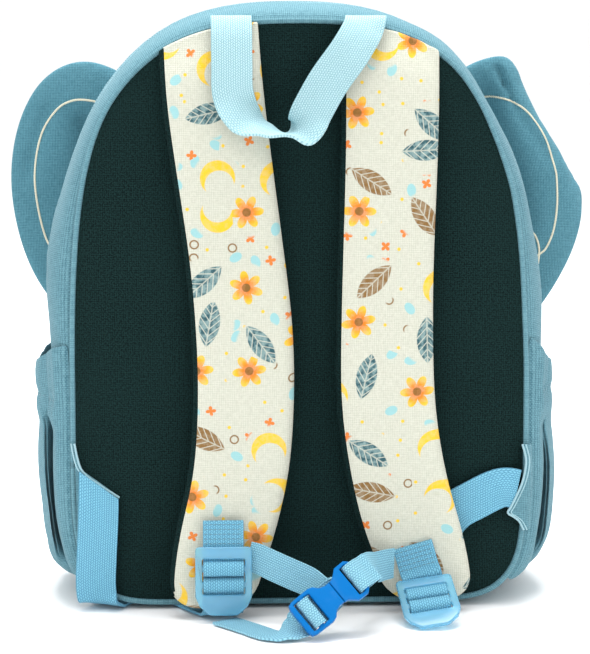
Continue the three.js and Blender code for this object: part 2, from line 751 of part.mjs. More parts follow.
// A plate in a frame, from a shape in (u, v), with its edges rounded.
function plateIn(frame, shape, thickness) {
  const geometry = new THREE.ExtrudeGeometry(shape, {
    depth: thickness - 2 * EDGE_ROUND,
    bevelThickness: EDGE_ROUND,
    bevelSize: EDGE_ROUND,
    bevelOffset: -EDGE_ROUND,
    bevelSegments: 1,
    curveSegments: 2,
  });
  return intoFrame(geometry.translate(0, 0, EDGE_ROUND - thickness), frame);
}

// Slots of the ladder lock down its length, in millimetres from its top.
const LOCK_SLOTS = [
  { from: 6, to: 9.6 },
  { from: 12.4, to: 17.6 },
  { from: 20.4, to: 24 },
];

function makeLock(frame) {
  const half = LOCK_WIDTH / 2;
  const shape = new THREE.Shape();
  shape.moveTo(-half + 2, 0);
  shape.lineTo(half - 2, 0);
  shape.quadraticCurveTo(half, 0, half, 2);
  shape.lineTo(half, 25);
  shape.bezierCurveTo(half, 29.5, half - 3.5, 30.5, half - 6, LOCK_LENGTH - 1);
  shape.quadraticCurveTo(half - 7, LOCK_LENGTH, half - 8.5, LOCK_LENGTH);
  shape.lineTo(-half + 8.5, LOCK_LENGTH);
  shape.quadraticCurveTo(-half + 7, LOCK_LENGTH, -half + 6, LOCK_LENGTH - 1);
  shape.bezierCurveTo(-half + 3.5, 30.5, -half, 29.5, -half, 25);
  shape.lineTo(-half, 2);
  shape.quadraticCurveTo(-half, 0, -half + 2, 0);
  const inner = half - LOCK_RAIL;
  shape.holes = LOCK_SLOTS.map(({ from, to }) => roundedRect(-inner, from, inner, to, 0.8));
  return plateIn(frame, shape, LOCK_PLATE);
}

// A webbing's rows given in a frame as (u, v, w), with its width along u.
const rowsIn = (frame, rows, u = 0) =>
  rows.map(([v, w]) => ({ at: placeIn(frame, u, v, w).toArray(), across: frame.u.toArray() }));

// The fixed loop: sewn on the strap's face, through the first slot, round its bar and back up behind.
const LOOP_ROWS = {
  left: [
    [-12.5, -1],
    [-6, -1],
    [0, -1],
    [5, -0.95],
    [7.3, -0.3],
    [7.8, 1.2],
    [8.4, 2.9],
    [11, 3.7],
    [13.4, 2.9],
    [14.2, 1.2],
    [14, -0.8],
    [12.4, -2.4],
    [8, -2.7],
    [0, -2.7],
    [-6, -2.7],
    [-12.5, -2.7],
  ],
};

// The right loop lies on the strap's upright face and bends to the lock, which lies nearly flat.
function rightLoopRows() {
  const frame = LOCK_FRAMES.right;
  const top = placeIn(frame, 0, 0, 0);
  const up = new THREE.Vector3(-0.28, 0.02, 0.96).normalize();
  const onStrap = (distance, layer) => {
    const point = top.clone().addScaledVector(up, distance);
    point.y = strapFaceY("right", point.z) - 1 - layer * 1.75;
    return { at: point.toArray(), across: [0.96, 0, 0.28] };
  };
  return [
    onStrap(18.5, 1),
    onStrap(12, 1),
    onStrap(6, 1.2),
    ...rowsIn(frame, [
      [-1.3, 2],
      [-1.1, 0],
      [0.6, -1.2],
      [3.6, -1.3],
      [6.3, -0.8],
      [7.7, 0.8],
      [8.5, 2.9],
      [11, 3.7],
      [13.5, 2.9],
      [14.2, 0.8],
      [13, -1.9],
      [9, -3.1],
      [3, -3.2],
      [-1.6, -2.6],
      [-3, -0.4],
    ]),
    onStrap(6, 0.1),
    onStrap(12, 0),
    onStrap(18.5, 0),
  ];
}

// The lower webbing's end: up behind the lock, over its second bar and back down through the last slot.
const ADJUSTER_ROWS = [
  [15.9, -0.6],
  [16.2, 1.2],
  [17, 3],
  [19, 3.6],
  [21, 3],
  [22.1, 1.2],
  [22.6, -0.5],
];

const LOWER_ROWS = {
  left: [
    { at: offBack(-100, 5, 65), across: [1, 0, 0], cut: 0.7 },
    { at: offBack(-100.5, 5.1, 47), across: [1, 0, 0] },
    { at: offBack(-101.5, 5, 28), across: [1, 0, -0.02] },
    { at: offBack(-102, 4.8, 13), across: [0.99, 0, -0.08] },
    { at: offBack(-101, 3.6, 6.2), across: [0.97, 0, -0.24] },
    { at: offBack(-98, -1.5, 3), across: [0.99, 0, -0.13] },
    { at: offBack(-94.5, -9, 1.8), across: [0.82, -0.57, 0] },
    { at: offBack(-86, -18.5, 1.6), across: [0.48, -0.88, 0] },
    { at: offBack(-73.5, -21.5, 1.6), across: [0, -1, 0] },
    { at: offBack(-61.5, -17, 1.6), across: [-0.6, -0.8, 0] },
    { at: offBack(-53.5, -7, 1.6), across: [-0.84, -0.54, 0] },
    { at: offBack(-47, 5, 1.7), across: [-0.88, -0.47, 0] },
    { at: offBack(-42.5, 13.5, 2), across: [-0.93, -0.36, 0] },
    { at: offBack(-39.5, 20.5, 2.9), across: [-0.98, -0.2, 0] },
    { at: offBack(-38.3, 24.4, 6), across: [-1, 0, 0] },
    { at: offBack(-38.3, 24.9, 12), across: [-1, 0, 0] },
  ],
  right: [
    { at: offBack(110, 4.9, 62.6), across: [0.1, 0, 0.99] },
    { at: offBack(104, 5, 62.6), across: [0, 0, 1] },
    { at: offBack(97.5, 5, 60), across: [-0.4, 0, 0.92] },
    { at: offBack(87, 4.9, 54.8), across: [-0.45, 0, 0.89] },
    { at: offBack(78, 4.8, 49.4), across: [-0.62, 0, 0.78] },
    { at: offBack(72, 4.7, 40.5), across: [-0.9, 0, 0.43] },
    { at: offBack(69.6, 4.6, 29.5), across: [-0.98, 0, 0.17] },
    { at: offBack(68.6, 4.6, 18), across: [-0.99, 0, 0.1] },
    { at: offBack(67.5, 4.6, 7), across: [-0.98, 0, 0.1] },
    { at: offBack(66, 7, 2.6), across: [-1, 0, 0] },
    { at: offBack(65, 12.5, 1.6), across: [-1, 0, 0] },
    { at: offBack(64.3, 20, 1.8), across: [-1, 0, 0] },
    { at: offBack(63.5, 26.5, 4.6), across: [-1, 0, -0.1] },
  ],
};

function lowerRows(sideName) {
  const frame = LOCK_FRAMES[sideName];
  const flip = ({ at, across }) => ({ at, across: across.map((c) => -c) });
  const tail = sideName === "left" ? [[28, -1], [32, -1]] : [[24.6, -1.3]];
  return [...LOWER_ROWS[sideName], ...rowsIn(frame, [...ADJUSTER_ROWS, ...tail]).map(flip)];
}

// The chest buckle's frame: v runs from the socket's end to the plug's end.
const turn = THREE.MathUtils.degToRad(BUCKLE_TURN);
const lean = THREE.MathUtils.degToRad(BUCKLE_LEAN);
const upInPlane = new THREE.Vector3(0, Math.sin(lean), Math.cos(lean));
const buckleAlong = new THREE.Vector3(Math.cos(turn), 0, 0).addScaledVector(upInPlane, Math.sin(turn));
const buckleAcross = new THREE.Vector3(Math.sin(turn), 0, 0).addScaledVector(upInPlane, -Math.cos(turn));
const BUCKLE_MIDDLE = new THREE.Vector3(...offBack(11.9, 58, 18.4));
const BUCKLE_FRAME = makeFrame(
  BUCKLE_MIDDLE.clone().addScaledVector(buckleAlong, -BUCKLE_LENGTH / 2),
  buckleAlong,
  buckleAcross.negate(),
);

const BUCKLE_SEAM = 23;
const BUCKLE_TONGUE = { half: 4.5, reach: 8, thick: 1.8 };

function bodyFromShape(points, holes) {
  const shape = new THREE.Shape();
  shape.moveTo(...points[0]);
  points.slice(1).forEach(([u, v]) => shape.lineTo(u, v));
  shape.closePath();
  shape.holes = holes;
  return shape;
}

const mirrored = (points) => [...points, ...points.map(([u, v]) => [-u, v]).reverse()];

function makeSocket() {
  const half = BUCKLE_WIDTH / 2;
  const side = mirrored([
    [half - 3, 0],
    [half - 1, 0.8],
    [half - 0.4, 3],
    [half - 0.2, 13],
    [half - 1, 15.4],
    [half - 3.4, 17.6],
    [half - 4.3, 20.4],
    [half - 4.3, BUCKLE_SEAM],
  ]);
  const slots = [
    roundedRect(-8, 2.6, 8, 6, 0.6),
    roundedRect(-8, 8.6, 8, 12, 0.6),
  ];
  const plate = plateIn(BUCKLE_FRAME, bodyFromShape(side, slots), BUCKLE_THICK);
  return cutBox(plate, BUCKLE_SEAM - BUCKLE_TONGUE.reach - GAP, BUCKLE_SEAM + 1, GAP);
}

function makePlug() {
  const half = BUCKLE_WIDTH / 2;
  const start = BUCKLE_SEAM + GAP;
  const side = mirrored([
    [half - 4.3, start],
    [half - 3.9, start + 2],
    [half - 2, start + 4.4],
    [half - 0.5, start + 6],
    [half - 0.4, BUCKLE_LENGTH - 2],
    [half - 2.2, BUCKLE_LENGTH],
  ]);
  const slots = [roundedRect(-8, BUCKLE_LENGTH - 6, 8, BUCKLE_LENGTH - 2.6, 0.6)];
  const plate = plateIn(BUCKLE_FRAME, bodyFromShape(side, slots), BUCKLE_THICK);
  return joinBox(plate, BUCKLE_SEAM - BUCKLE_TONGUE.reach, start + 1);
}

// Boxes in the buckle's frame: the tongue, and the pocket it goes into.
function tongueBox(from, to, extra) {
  const box = new THREE.BoxGeometry(
    2 * (BUCKLE_TONGUE.half + extra),
    to - from,
    BUCKLE_TONGUE.thick + 2 * extra,
  );
  return intoFrame(box.translate(0, (from + to) / 2, -BUCKLE_THICK / 2), BUCKLE_FRAME);
}

function toManifold(geometry) {
  const bare = geometry.clone();
  bare.deleteAttribute("normal");
  bare.deleteAttribute("uv");
  const merged = mergeVertices(bare, 1e-3);
  return new wasm.Manifold(
    new wasm.Mesh({
      numProp: 3,
      vertProperties: merged.attributes.position.array,
      triVerts: new Uint32Array(merged.index.array),
    }),
  );
}

function fromManifold(solid) {
  const { vertProperties, numProp, triVerts } = solid.getMesh();
  const positions = new Float32Array((vertProperties.length / numProp) * 3);
  for (let i = 0; i < positions.length / 3; i++) {
    positions.set(vertProperties.subarray(i * numProp, i * numProp + 3), i * 3);
  }
  const geometry = new THREE.BufferGeometry();
  geometry.setAttribute("position", new THREE.BufferAttribute(positions, 3));
  geometry.setIndex(new THREE.BufferAttribute(triVerts, 1));
  return geometry;
}

const cutBox = (geometry, from, to, extra) =>
  fromManifold(toManifold(geometry).subtract(toManifold(tongueBox(from, to, extra))));
const joinBox = (geometry, from, to) =>
  fromManifold(toManifold(geometry).add(toManifold(tongueBox(from, to, 0))));

// The chest strap's two halves. Each starts on a shoulder strap and ends at the buckle.
function inBuckle(u, v, w) {
  return { at: placeIn(BUCKLE_FRAME, u, v, w).toArray(), across: BUCKLE_FRAME.u.toArray() };
}

function chestLeftRows() {
  return [
    { at: offBack(-26, 25.9, 32.8), across: [0.12, 0, 0.98] },
    { at: offBack(-21, 26.9, 31.6), across: [0.15, 0, 0.98] },
    { at: offBack(-14.5, 31, 29.3), across: [0.2, 0, 0.98] },
    { at: offBack(-5, 35.5, 25.8), across: [0.2, 0, 0.98] },
    { at: offBack(3.5, 40, 22.8), across: [0.15, 0, 0.98] },
    { ...inBuckle(3, 21.4, -8.2), across: [0.03, 0, 1] },
    { ...inBuckle(1.8, 24.4, -6.2), across: [-0.2, 0.12, 0.97] },
    { ...inBuckle(1.2, 21.4, -4.2), across: [-0.46, 0.24, 0.85] },
    inBuckle(0.6, 17.2, -3),
    inBuckle(0, 13.6, -1.9),
    inBuckle(0, 10.8, -0.4),
    inBuckle(0, 10.2, 2.5),
    inBuckle(0, 9.6, 5),
    inBuckle(0, 7.3, 6.1),
    inBuckle(0, 5, 5),
    inBuckle(0, 4.4, 2.5),
    inBuckle(0, 3.8, -0.2),
    inBuckle(0, 0.8, -1.6),
    { ...inBuckle(0, -3, -2.2), across: [-0.5, 0.75, 0.35] },
    { at: offBack(-10.5, 62.4, 3.4), across: [-0.2, 0.97, 0.1] },
    { at: offBack(-15.5, 60.5, 1.9), across: [0.35, 0.93, 0] },
    { at: offBack(-19.5, 56, 1.5), across: [0.75, 0.66, 0] },
    { at: offBack(-23, 50.5, 1.4), across: [0.84, 0.54, 0] },
    { at: offBack(-31.5, 39, 1.4), across: [0.84, 0.54, 0] },
  ];
}

function chestRightRows() {
  const end = BUCKLE_LENGTH;
  return [
    { at: offBack(46.5, 21.5, 27.4), across: [0.1, 0.1, 0.98] },
    { at: offBack(42, 26.5, 27.8), across: [0, 0.15, 0.98] },
    { at: offBack(37, 34.5, 28.6), across: [-0.2, 0.2, 0.95] },
    inBuckle(0, end + 8, -1.6),
    inBuckle(0, end + 1, -1.7),
    inBuckle(0, end - 3.4, -0.8),
    inBuckle(0, end - 4.3, 2.5),
    inBuckle(0, end - 3.5, 5.3),
    inBuckle(0, end - 0.8, 6.1),
    inBuckle(0, end + 2.2, 4.2),
    inBuckle(0, end + 4.6, 1.2),
    inBuckle(0, end + 8.2, 0.2),
  ];
}

const bag = new THREE.Group();
bag.add(
  makeMesh("gusset", makeGusset(), COLOURS.canvas),
  makeMesh("main_zip", makeZip(), COLOURS.zip),
  makeMesh("back_panel", makePanel(BACK_Y, BACK_CROWN, -1), COLOURS.backCanvas),
  makeMesh("front_panel", makePanel(FRONT_Y, FRONT_CROWN, 1), COLOURS.canvas),
  makeMesh("ear_left", makeEar("left"), COLOURS.canvas),
  makeMesh("ear_right", makeEar("right"), COLOURS.canvas),
  makeMesh("side_pocket_left", makePocket("left"), COLOURS.canvas),
  makeMesh("side_pocket_right", makePocket("right"), COLOURS.canvas),
  makeMesh("shoulder_strap_left", makeStrap("left"), COLOURS.print),
  makeMesh("shoulder_strap_right", makeStrap("right"), COLOURS.print),
  makeMesh("carry_handle", webbing(HANDLE_ROWS, WEB_WIDTH, WEB, 42), COLOURS.webbing),
  makeMesh("side_tab_left", makeTab(TAB_CORNERS.left), COLOURS.canvas),
  makeMesh("side_tab_right", makeTab(TAB_CORNERS.right), COLOURS.canvas),
  makeMesh("ladder_lock_left", makeLock(LOCK_FRAMES.left), COLOURS.clearPlastic),
  makeMesh("ladder_lock_right", makeLock(LOCK_FRAMES.right), COLOURS.clearPlastic),
  makeMesh(
    "adjuster_loop_left",
    webbing(rowsIn(LOCK_FRAMES.left, LOOP_ROWS.left), WEB_WIDTH, WEB, 30),
    COLOURS.webbing,
  ),
  makeMesh("adjuster_loop_right", webbing(rightLoopRows(), WEB_WIDTH, WEB, 34), COLOURS.webbing),
  makeMesh("lower_webbing_left", webbing(lowerRows("left"), WEB_WIDTH, WEB, 46), COLOURS.webbing),
  makeMesh("lower_webbing_right", webbing(lowerRows("right"), WEB_WIDTH, WEB, 34), COLOURS.webbing),
  makeMesh("chest_strap_left", webbing(chestLeftRows(), CHEST_WIDTH, CHEST_WEB, 46), COLOURS.webbing),
  makeMesh("chest_strap_right", webbing(chestRightRows(), CHEST_WIDTH, CHEST_WEB, 22), COLOURS.webbing),
  makeMesh("buckle_socket", makeSocket(), COLOURS.bluePlastic),
  makeMesh("buckle_plug", makePlug(), COLOURS.bluePlastic),
);

export default bag;
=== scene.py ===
"""Dresses a child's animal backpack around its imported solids, one class for each sub-assembly.

Lengths are metres in the frame of the solids: +Z is up, -Y is the side with the shoulder straps, and the
bag stands on the floor at Z = 0. Tables and sizes whose names end in _mm are in millimetres.
"""

from __future__ import annotations

import logging
import math
from dataclasses import dataclass, field
from enum import Enum
from typing import Callable, Mapping, Sequence, Union

import bpy
import numpy as np
from bpy.types import ID, Material, NodeSocket, Object
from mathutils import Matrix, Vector, noise
from mathutils.bvhtree import BVHTree

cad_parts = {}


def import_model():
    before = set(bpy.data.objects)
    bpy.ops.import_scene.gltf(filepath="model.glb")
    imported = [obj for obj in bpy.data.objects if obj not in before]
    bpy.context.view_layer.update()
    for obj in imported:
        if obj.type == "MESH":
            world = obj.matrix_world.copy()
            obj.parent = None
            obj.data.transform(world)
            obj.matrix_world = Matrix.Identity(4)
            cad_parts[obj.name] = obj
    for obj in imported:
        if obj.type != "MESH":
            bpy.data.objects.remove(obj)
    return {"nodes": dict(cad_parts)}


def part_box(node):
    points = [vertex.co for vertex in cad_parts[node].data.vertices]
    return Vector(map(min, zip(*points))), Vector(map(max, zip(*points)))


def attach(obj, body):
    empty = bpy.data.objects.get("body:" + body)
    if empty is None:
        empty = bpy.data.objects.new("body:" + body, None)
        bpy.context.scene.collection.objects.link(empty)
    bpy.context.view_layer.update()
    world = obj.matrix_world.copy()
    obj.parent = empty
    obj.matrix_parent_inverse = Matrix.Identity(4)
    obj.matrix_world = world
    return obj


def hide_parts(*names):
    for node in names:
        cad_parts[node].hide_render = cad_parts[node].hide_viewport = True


LOG = logging.getLogger("backpack")
MM = 0.001
PI = math.pi
CAST_FROM = 0.3

Value = Union[float, Sequence[float], NodeSocket]
Colour = tuple[float, float, float]
Field = Callable[[np.ndarray], np.ndarray]


class Slot(Enum):
    """The record's material slots."""

    CANVAS = "canvas_blue"
    DARK = "canvas_dark"
    PRINT = "canvas_print"
    WEBBING = "webbing_blue"
    CLEAR = "plastic_clear"
    BUCKLE = "plastic_blue"
    ZIP = "zip_blue"


class Plane(Enum):
    """Which two directions of a piece its cloth's threads follow, given as columns of its points."""

    FRONT = (0, 2)
    SIDE = (1, 2)


def srgb(red: int, green: int, blue: int) -> Colour:
    """The linear colour of three screen values from 0 to 255."""
    return tuple(((c / 255 + 0.055) / 1.055) ** 2.4 if c > 10 else c / 3295 for c in (red, green, blue))


# The finishes


class Graph:
    """The node tree of one material, with a method for each kind of node it is built from."""

    def __init__(self, name: str) -> None:
        """Starts a material of that name with its shader alone."""
        self.material: Material = bpy.data.materials.new(name)
        self.material.use_nodes = True
        self.tree = self.material.node_tree
        self.shader = self.tree.nodes["Principled BSDF"]

    def put(self, socket: NodeSocket, value: Value) -> None:
        """Links a socket to another, or sets it to a value."""
        if isinstance(value, NodeSocket):
            self.tree.links.new(value, socket)
        elif isinstance(value, (int, float)):
            socket.default_value = value
        else:
            size = len(socket.default_value)
            socket.default_value = (*value, 1.0)[:size] if len(value) < size else tuple(value)[:size]

    def node(self, kind: str, inputs: Mapping[Union[int, str], Value] | None = None, **settings: object):
        """Adds a node.

        Args:
            kind: The node's type without its ShaderNode prefix.
            inputs: What goes into its sockets, by name or number.
            **settings: The node's own settings.

        Returns:
            The new node.
        """
        made = self.tree.nodes.new("ShaderNode" + kind)
        for key, value in settings.items():
            setattr(made, key, value)
        for key, value in (inputs or {}).items():
            self.put(made.inputs[key], value)
        return made

    def math(self, operation: str, *values: Value) -> NodeSocket:
        """The result of a Math node."""
        return self.node("Math", dict(enumerate(values)), operation=operation).outputs[0]

    def steps(self, value: Value, low: float, high: float) -> NodeSocket:
        """0 below low, 1 above high, and smooth between them."""
        inputs = {"Value": value, "From Min": low, "From Max": high}
        return self.node("MapRange", inputs, interpolation_type="SMOOTHSTEP").outputs[0]

    def mix(self, share: Value, first: Value, second: Value, kind: str = "MIX") -> NodeSocket:
        """Two colours mixed by a share of the second."""
        made = self.node("Mix", data_type="RGBA", blend_type=kind)
        for number, value in ((0, share), (6, first), (7, second)):
            self.put(made.inputs[number], value)
        return made.outputs[2]

    def noise(self, where: Value, scale: float, detail: float = 2.0) -> NodeSocket:
        """Noise from 0 to 1 at a place."""
        return self.node("TexNoise", {"Vector": where, "Scale": scale, "Detail": detail}).outputs[0]

    def place(self) -> NodeSocket:
        """The place on the piece, in metres."""
        return self.node("TexCoord").outputs["Object"]

    def cloth(self) -> tuple[NodeSocket, NodeSocket]:
        """The place along and across the cloth's threads, in millimetres."""
        return self.split(self.node("UVMap", uv_map="cloth").outputs[0])[:2]

    def split(self, vector: NodeSocket) -> tuple[NodeSocket, NodeSocket, NodeSocket]:
        """A vector's three numbers."""
        return tuple(self.node("SeparateXYZ", {0: vector}).outputs)

    def join(self, x: Value, y: Value, z: Value = 0.0) -> NodeSocket:
        """A vector of three numbers."""
        return self.node("CombineXYZ", {0: x, 1: y, 2: z}).outputs[0]

    def times(self, vector: Value, factors: Sequence[float]) -> NodeSocket:
        """A vector scaled along its three directions."""
        return self.node("VectorMath", {0: vector, 1: factors}, operation="MULTIPLY").outputs[0]

    def finish(self, colour: Value, height: Value | None, depth: float, **surface: Value) -> Material:
        """Wires the shader.

        Args:
            colour: The base colour.
            height: A relief from 0 to 1, or None.
            depth: How deep the relief is, in metres.
            **surface: Other shader inputs, with _ for a space in the name.

        Returns:
            The finished material.
        """
        self.put(self.shader.inputs["Base Color"], colour)
        if height is not None:
            bump = self.node("Bump", {"Height": height, "Distance": depth, "Strength": 1.0})
            self.put(self.shader.inputs["Normal"], bump.outputs[0])
        for key, value in surface.items():
            self.put(self.shader.inputs[key.replace("_", " ").title().replace("Ior", "IOR")], value)
        return self.material


@dataclass(frozen=True)
class Canvas:
    """Plain-woven cloth, with lighter and darker threads, and painted shade in the hollows of its weave."""

    name: str
    deep: Colour
    pale: Colour
    pitch_mm: float = 0.95
    heather: float = 0.2
    sheen: float = 0.04
    shine: float = 0.15
    streak: float = 0.3
    fleck: float = 2.1
    # How much paler the raised threads are painted than the hollows between them: painted shade.
    raised: float = 0.56

    def threads(self, g: Graph) -> tuple[NodeSocket, NodeSocket]:
        """The share of pale colour, from lighter threads and from painted shade in the weave's hollows, and
        the height of the weave.
        """
        x, y = g.cloth()
        wide, high = (g.math("SINE", g.math("MULTIPLY", c, PI / self.pitch_mm)) for c in (x, y))
        over = g.steps(g.math("MULTIPLY", wide, high), -0.2, 0.2)
        warp = g.math("MULTIPLY", g.math("ABSOLUTE", wide), over)
        weft = g.math("MULTIPLY", g.math("ABSOLUTE", high), g.math("SUBTRACT", 1.0, over))
        height = g.math("MAXIMUM", warp, weft)
        along = g.noise(g.times(g.join(x, y), (self.streak, self.fleck, 1.0)), 1.0, 1.0)
        across = g.noise(g.times(g.join(x, y), (self.fleck, self.streak, 1.0)), 1.0, 1.0)
        share = g.steps(g.math("ADD", along, across), 0.8, 1.2)
        share = g.math("MULTIPLY", share, self.heather)
        # The hollows between raised threads are painted darker here: painted shade in the weave.
        return g.math("ADD", share, g.math("MULTIPLY", height, self.raised)), height

    def build(self) -> Material:
        """The finished material."""
        g = Graph(self.name)
        share, height = self.threads(g)
        cloud = g.steps(g.noise(g.place(), 22.0, 3.0), 0.3, 0.7)
        colour = g.mix(share, self.deep, self.pale)
        colour = g.mix(g.math("MULTIPLY", cloud, 0.12), colour, self.pale)
        return g.finish(colour, height, 0.00018, roughness=0.9, specular_ior_level=self.shine,
                        sheen_weight=self.sheen, sheen_roughness=0.5)


class Motif(Enum):
    """The figures of the strap's print, by the share of the cells where each begins and ends."""

    DAISY = (-1.0, 0.34)
    LEAF = (0.34, 0.66)
    MOON = (0.66, 2.0)
    DOT = (0.0, 0.42)
    BUD = (0.42, 0.6)
    RING = (0.6, 0.7)
    DROP = (0.7, 0.86)


@dataclass(frozen=True)
class Print(Canvas):
    """Cream canvas printed with daisies, leaves, moons, rings and drops, scattered over cells."""

    large_mm: float = 27.0
    small_mm: float = 9.6
    large: float = 2.1
    small: float = 1.7
    teal: Colour = srgb(34, 78, 88)
    orange: Colour = srgb(214, 112, 22)
    yellow: Colour = srgb(226, 184, 34)
    brown: Colour = srgb(126, 92, 46)
    ice: Colour = srgb(140, 190, 194)

    def cells(
        self, g: Graph, size: float, scale: float, loose: float, shift: float
    ) -> tuple[NodeSocket, NodeSocket, NodeSocket, NodeSocket]:
        """Scatters one motif to a cell.

        Args:
            g: The material's graph.
            size: The cell's size in millimetres.
            scale: How much larger the motifs are than their own measures.
            loose: How far the motifs leave an even grid, from 0 to 1.
            shift: Moves the cells, so that two layers differ.

        Returns:
            The place in the motif, turned with it, and two random numbers for the cell.
        """
        x, y = g.cloth()
        spot = g.join(g.math("ADD", g.math("DIVIDE", x, size), shift), g.math("DIVIDE", y, size))
        inputs = {"Vector": spot, "Scale": 1.0, "Randomness": loose}
        cell = g.node("TexVoronoi", inputs, voronoi_dimensions="2D")
        local = g.node("VectorMath", {0: spot, 1: cell.outputs["Position"]}, operation="SUBTRACT").outputs[0]
        random = g.node("SeparateColor", {0: cell.outputs["Color"]}).outputs
        turn = g.math("MULTIPLY", random[1], 2 * PI)
        turned = g.node("VectorRotate", {"Vector": local, "Angle": turn}, rotation_type="Z_AXIS").outputs[0]
        u, v, _ = g.split(g.times(turned, (size / scale, size / scale, 1.0)))
        return u, v, random[0], random[2]

    def radius(self, g: Graph, u: Value, v: Value) -> NodeSocket:
        """How far a place is from its motif's middle."""
        return g.math("SQRT", g.math("ADD", g.math("MULTIPLY", u, u), g.math("MULTIPLY", v, v)))

    def petals(self, g: Graph, u: Value, v: Value, halves: float) -> NodeSocket:
        """1 along the middle of each petal and 0 between them, with twice as many petals as halves."""
        return g.math("ABSOLUTE", g.math("COSINE", g.math("MULTIPLY", g.math("ARCTAN2", v, u), halves)))

    def inside(self, g: Graph, value: Value, edge: float = 0.12) -> NodeSocket:
        """1 where a signed distance in millimetres is below zero, with an edge of that softness."""
        return g.math("SUBTRACT", 1.0, g.steps(value, -edge, edge))

    def between(self, g: Graph, value: Value, low: float, high: float) -> NodeSocket:
        """1 where a value lies between two limits."""
        above = g.math("GREATER_THAN", value, low)
        return g.math("MULTIPLY", above, g.math("LESS_THAN", value, high))

    def oval(self, g: Graph, u: Value, v: Value, wide: float, high: float) -> NodeSocket:
        """How far outside an ellipse a place is, in about millimetres."""
        reach = g.math("SQRT", g.math("ADD", g.math("POWER", g.math("DIVIDE", u, wide), 2.0),
                                      g.math("POWER", g.math("DIVIDE", v, high), 2.0)))
        return g.math("MULTIPLY", g.math("SUBTRACT", reach, 1.0), min(wide, high))

    def build(self) -> Material:
        """The finished material."""
        g = Graph(self.name)
        share, height = self.threads(g)
        # The ground carries the weave's painted shade in its hollows, from threads.
        colour = g.mix(share, self.deep, self.pale)
        u, v, kind, tone = self.cells(g, self.large_mm, self.large, 0.62, 0.0)
        radius = self.radius(g, u, v)
        petals = self.petals(g, u, v, 3.0)
        daisy = self.inside(g, g.math("SUBTRACT", radius, g.math("MULTIPLY_ADD", petals, 2.3, 1.7)))
        heart = self.inside(g, g.math("SUBTRACT", radius, 1.0))
        # A leaf is where two circles meet, cut by a vein that is left bare.
        side = g.math("ABSOLUTE", v)
        bow = self.radius(g, u, g.math("ADD", side, 5.2))
        leaf = self.inside(g, g.math("SUBTRACT", bow, 7.6))
        ribs = g.math("SINE", g.math("MULTIPLY", g.math("ADD", u, g.math("MULTIPLY", side, -1.1)), 3.6))
        vein = g.math("MAXIMUM", self.inside(g, g.math("SUBTRACT", side, 0.14)), g.steps(ribs, 0.72, 0.9))
        leaf = g.math("MULTIPLY", leaf, g.math("SUBTRACT", 1.0, g.math("MULTIPLY", vein, 0.75)))
        bite = self.oval(g, g.math("SUBTRACT", u, 1.7), v, 3.4, 3.4)
        disc = self.inside(g, g.math("SUBTRACT", radius, 4.1))
        moon = g.math("MULTIPLY", disc, g.math("SUBTRACT", 1.0, self.inside(g, bite)))
        bloom = g.mix(g.steps(radius, 0.8, 4.2), self.orange, self.yellow)
        wash = g.steps(g.noise(g.place(), 420.0, 2.0), 0.35, 0.65)
        green = g.mix(g.math("MULTIPLY", wash, 0.35), self.teal, self.ice)
        wood = g.mix(g.math("GREATER_THAN", tone, 0.5), green, self.brown)
        for shape, paint, motif in (
            (daisy, bloom, Motif.DAISY), (heart, self.brown, Motif.DAISY), (leaf, wood, Motif.LEAF),
            (moon, self.yellow, Motif.MOON),
        ):
            low, high = motif.value
            drawn = g.math("MULTIPLY", shape, self.between(g, kind, low, high))
            colour = g.mix(g.math("MULTIPLY", drawn, g.math("MULTIPLY_ADD", wash, -0.2, 0.97)), colour, paint)
        clear = g.steps(radius, 5.4, 6.2)
        u, v, kind, _ = self.cells(g, self.small_mm, self.small, 0.9, 40.0)
        radius = self.radius(g, u, v)
        dot = self.inside(g, g.math("SUBTRACT", radius, 0.5))
        ring = self.inside(g, g.math("SUBTRACT", g.math("ABSOLUTE", g.math("SUBTRACT", radius, 1.15)), 0.22))
        petals = self.petals(g, u, v, 2.0)
        bud = self.inside(g, g.math("SUBTRACT", radius, g.math("MULTIPLY_ADD", petals, 1.0, 0.5)))
        drop = self.inside(g, self.oval(g, u, v, 1.9, 1.3))
        for shape, paint, motif in (
            (dot, self.yellow, Motif.DOT), (bud, self.orange, Motif.BUD), (ring, self.brown, Motif.RING),
            (drop, self.ice, Motif.DROP),
        ):
            low, high = motif.value
            drawn = g.math("MULTIPLY", g.math("MULTIPLY", shape, clear), self.between(g, kind, low, high))
            colour = g.mix(g.math("MULTIPLY", drawn, 0.92), colour, paint)
        return g.finish(colour, height, 0.00014, roughness=0.85, specular_ior_level=self.shine,
                        sheen_weight=self.sheen)


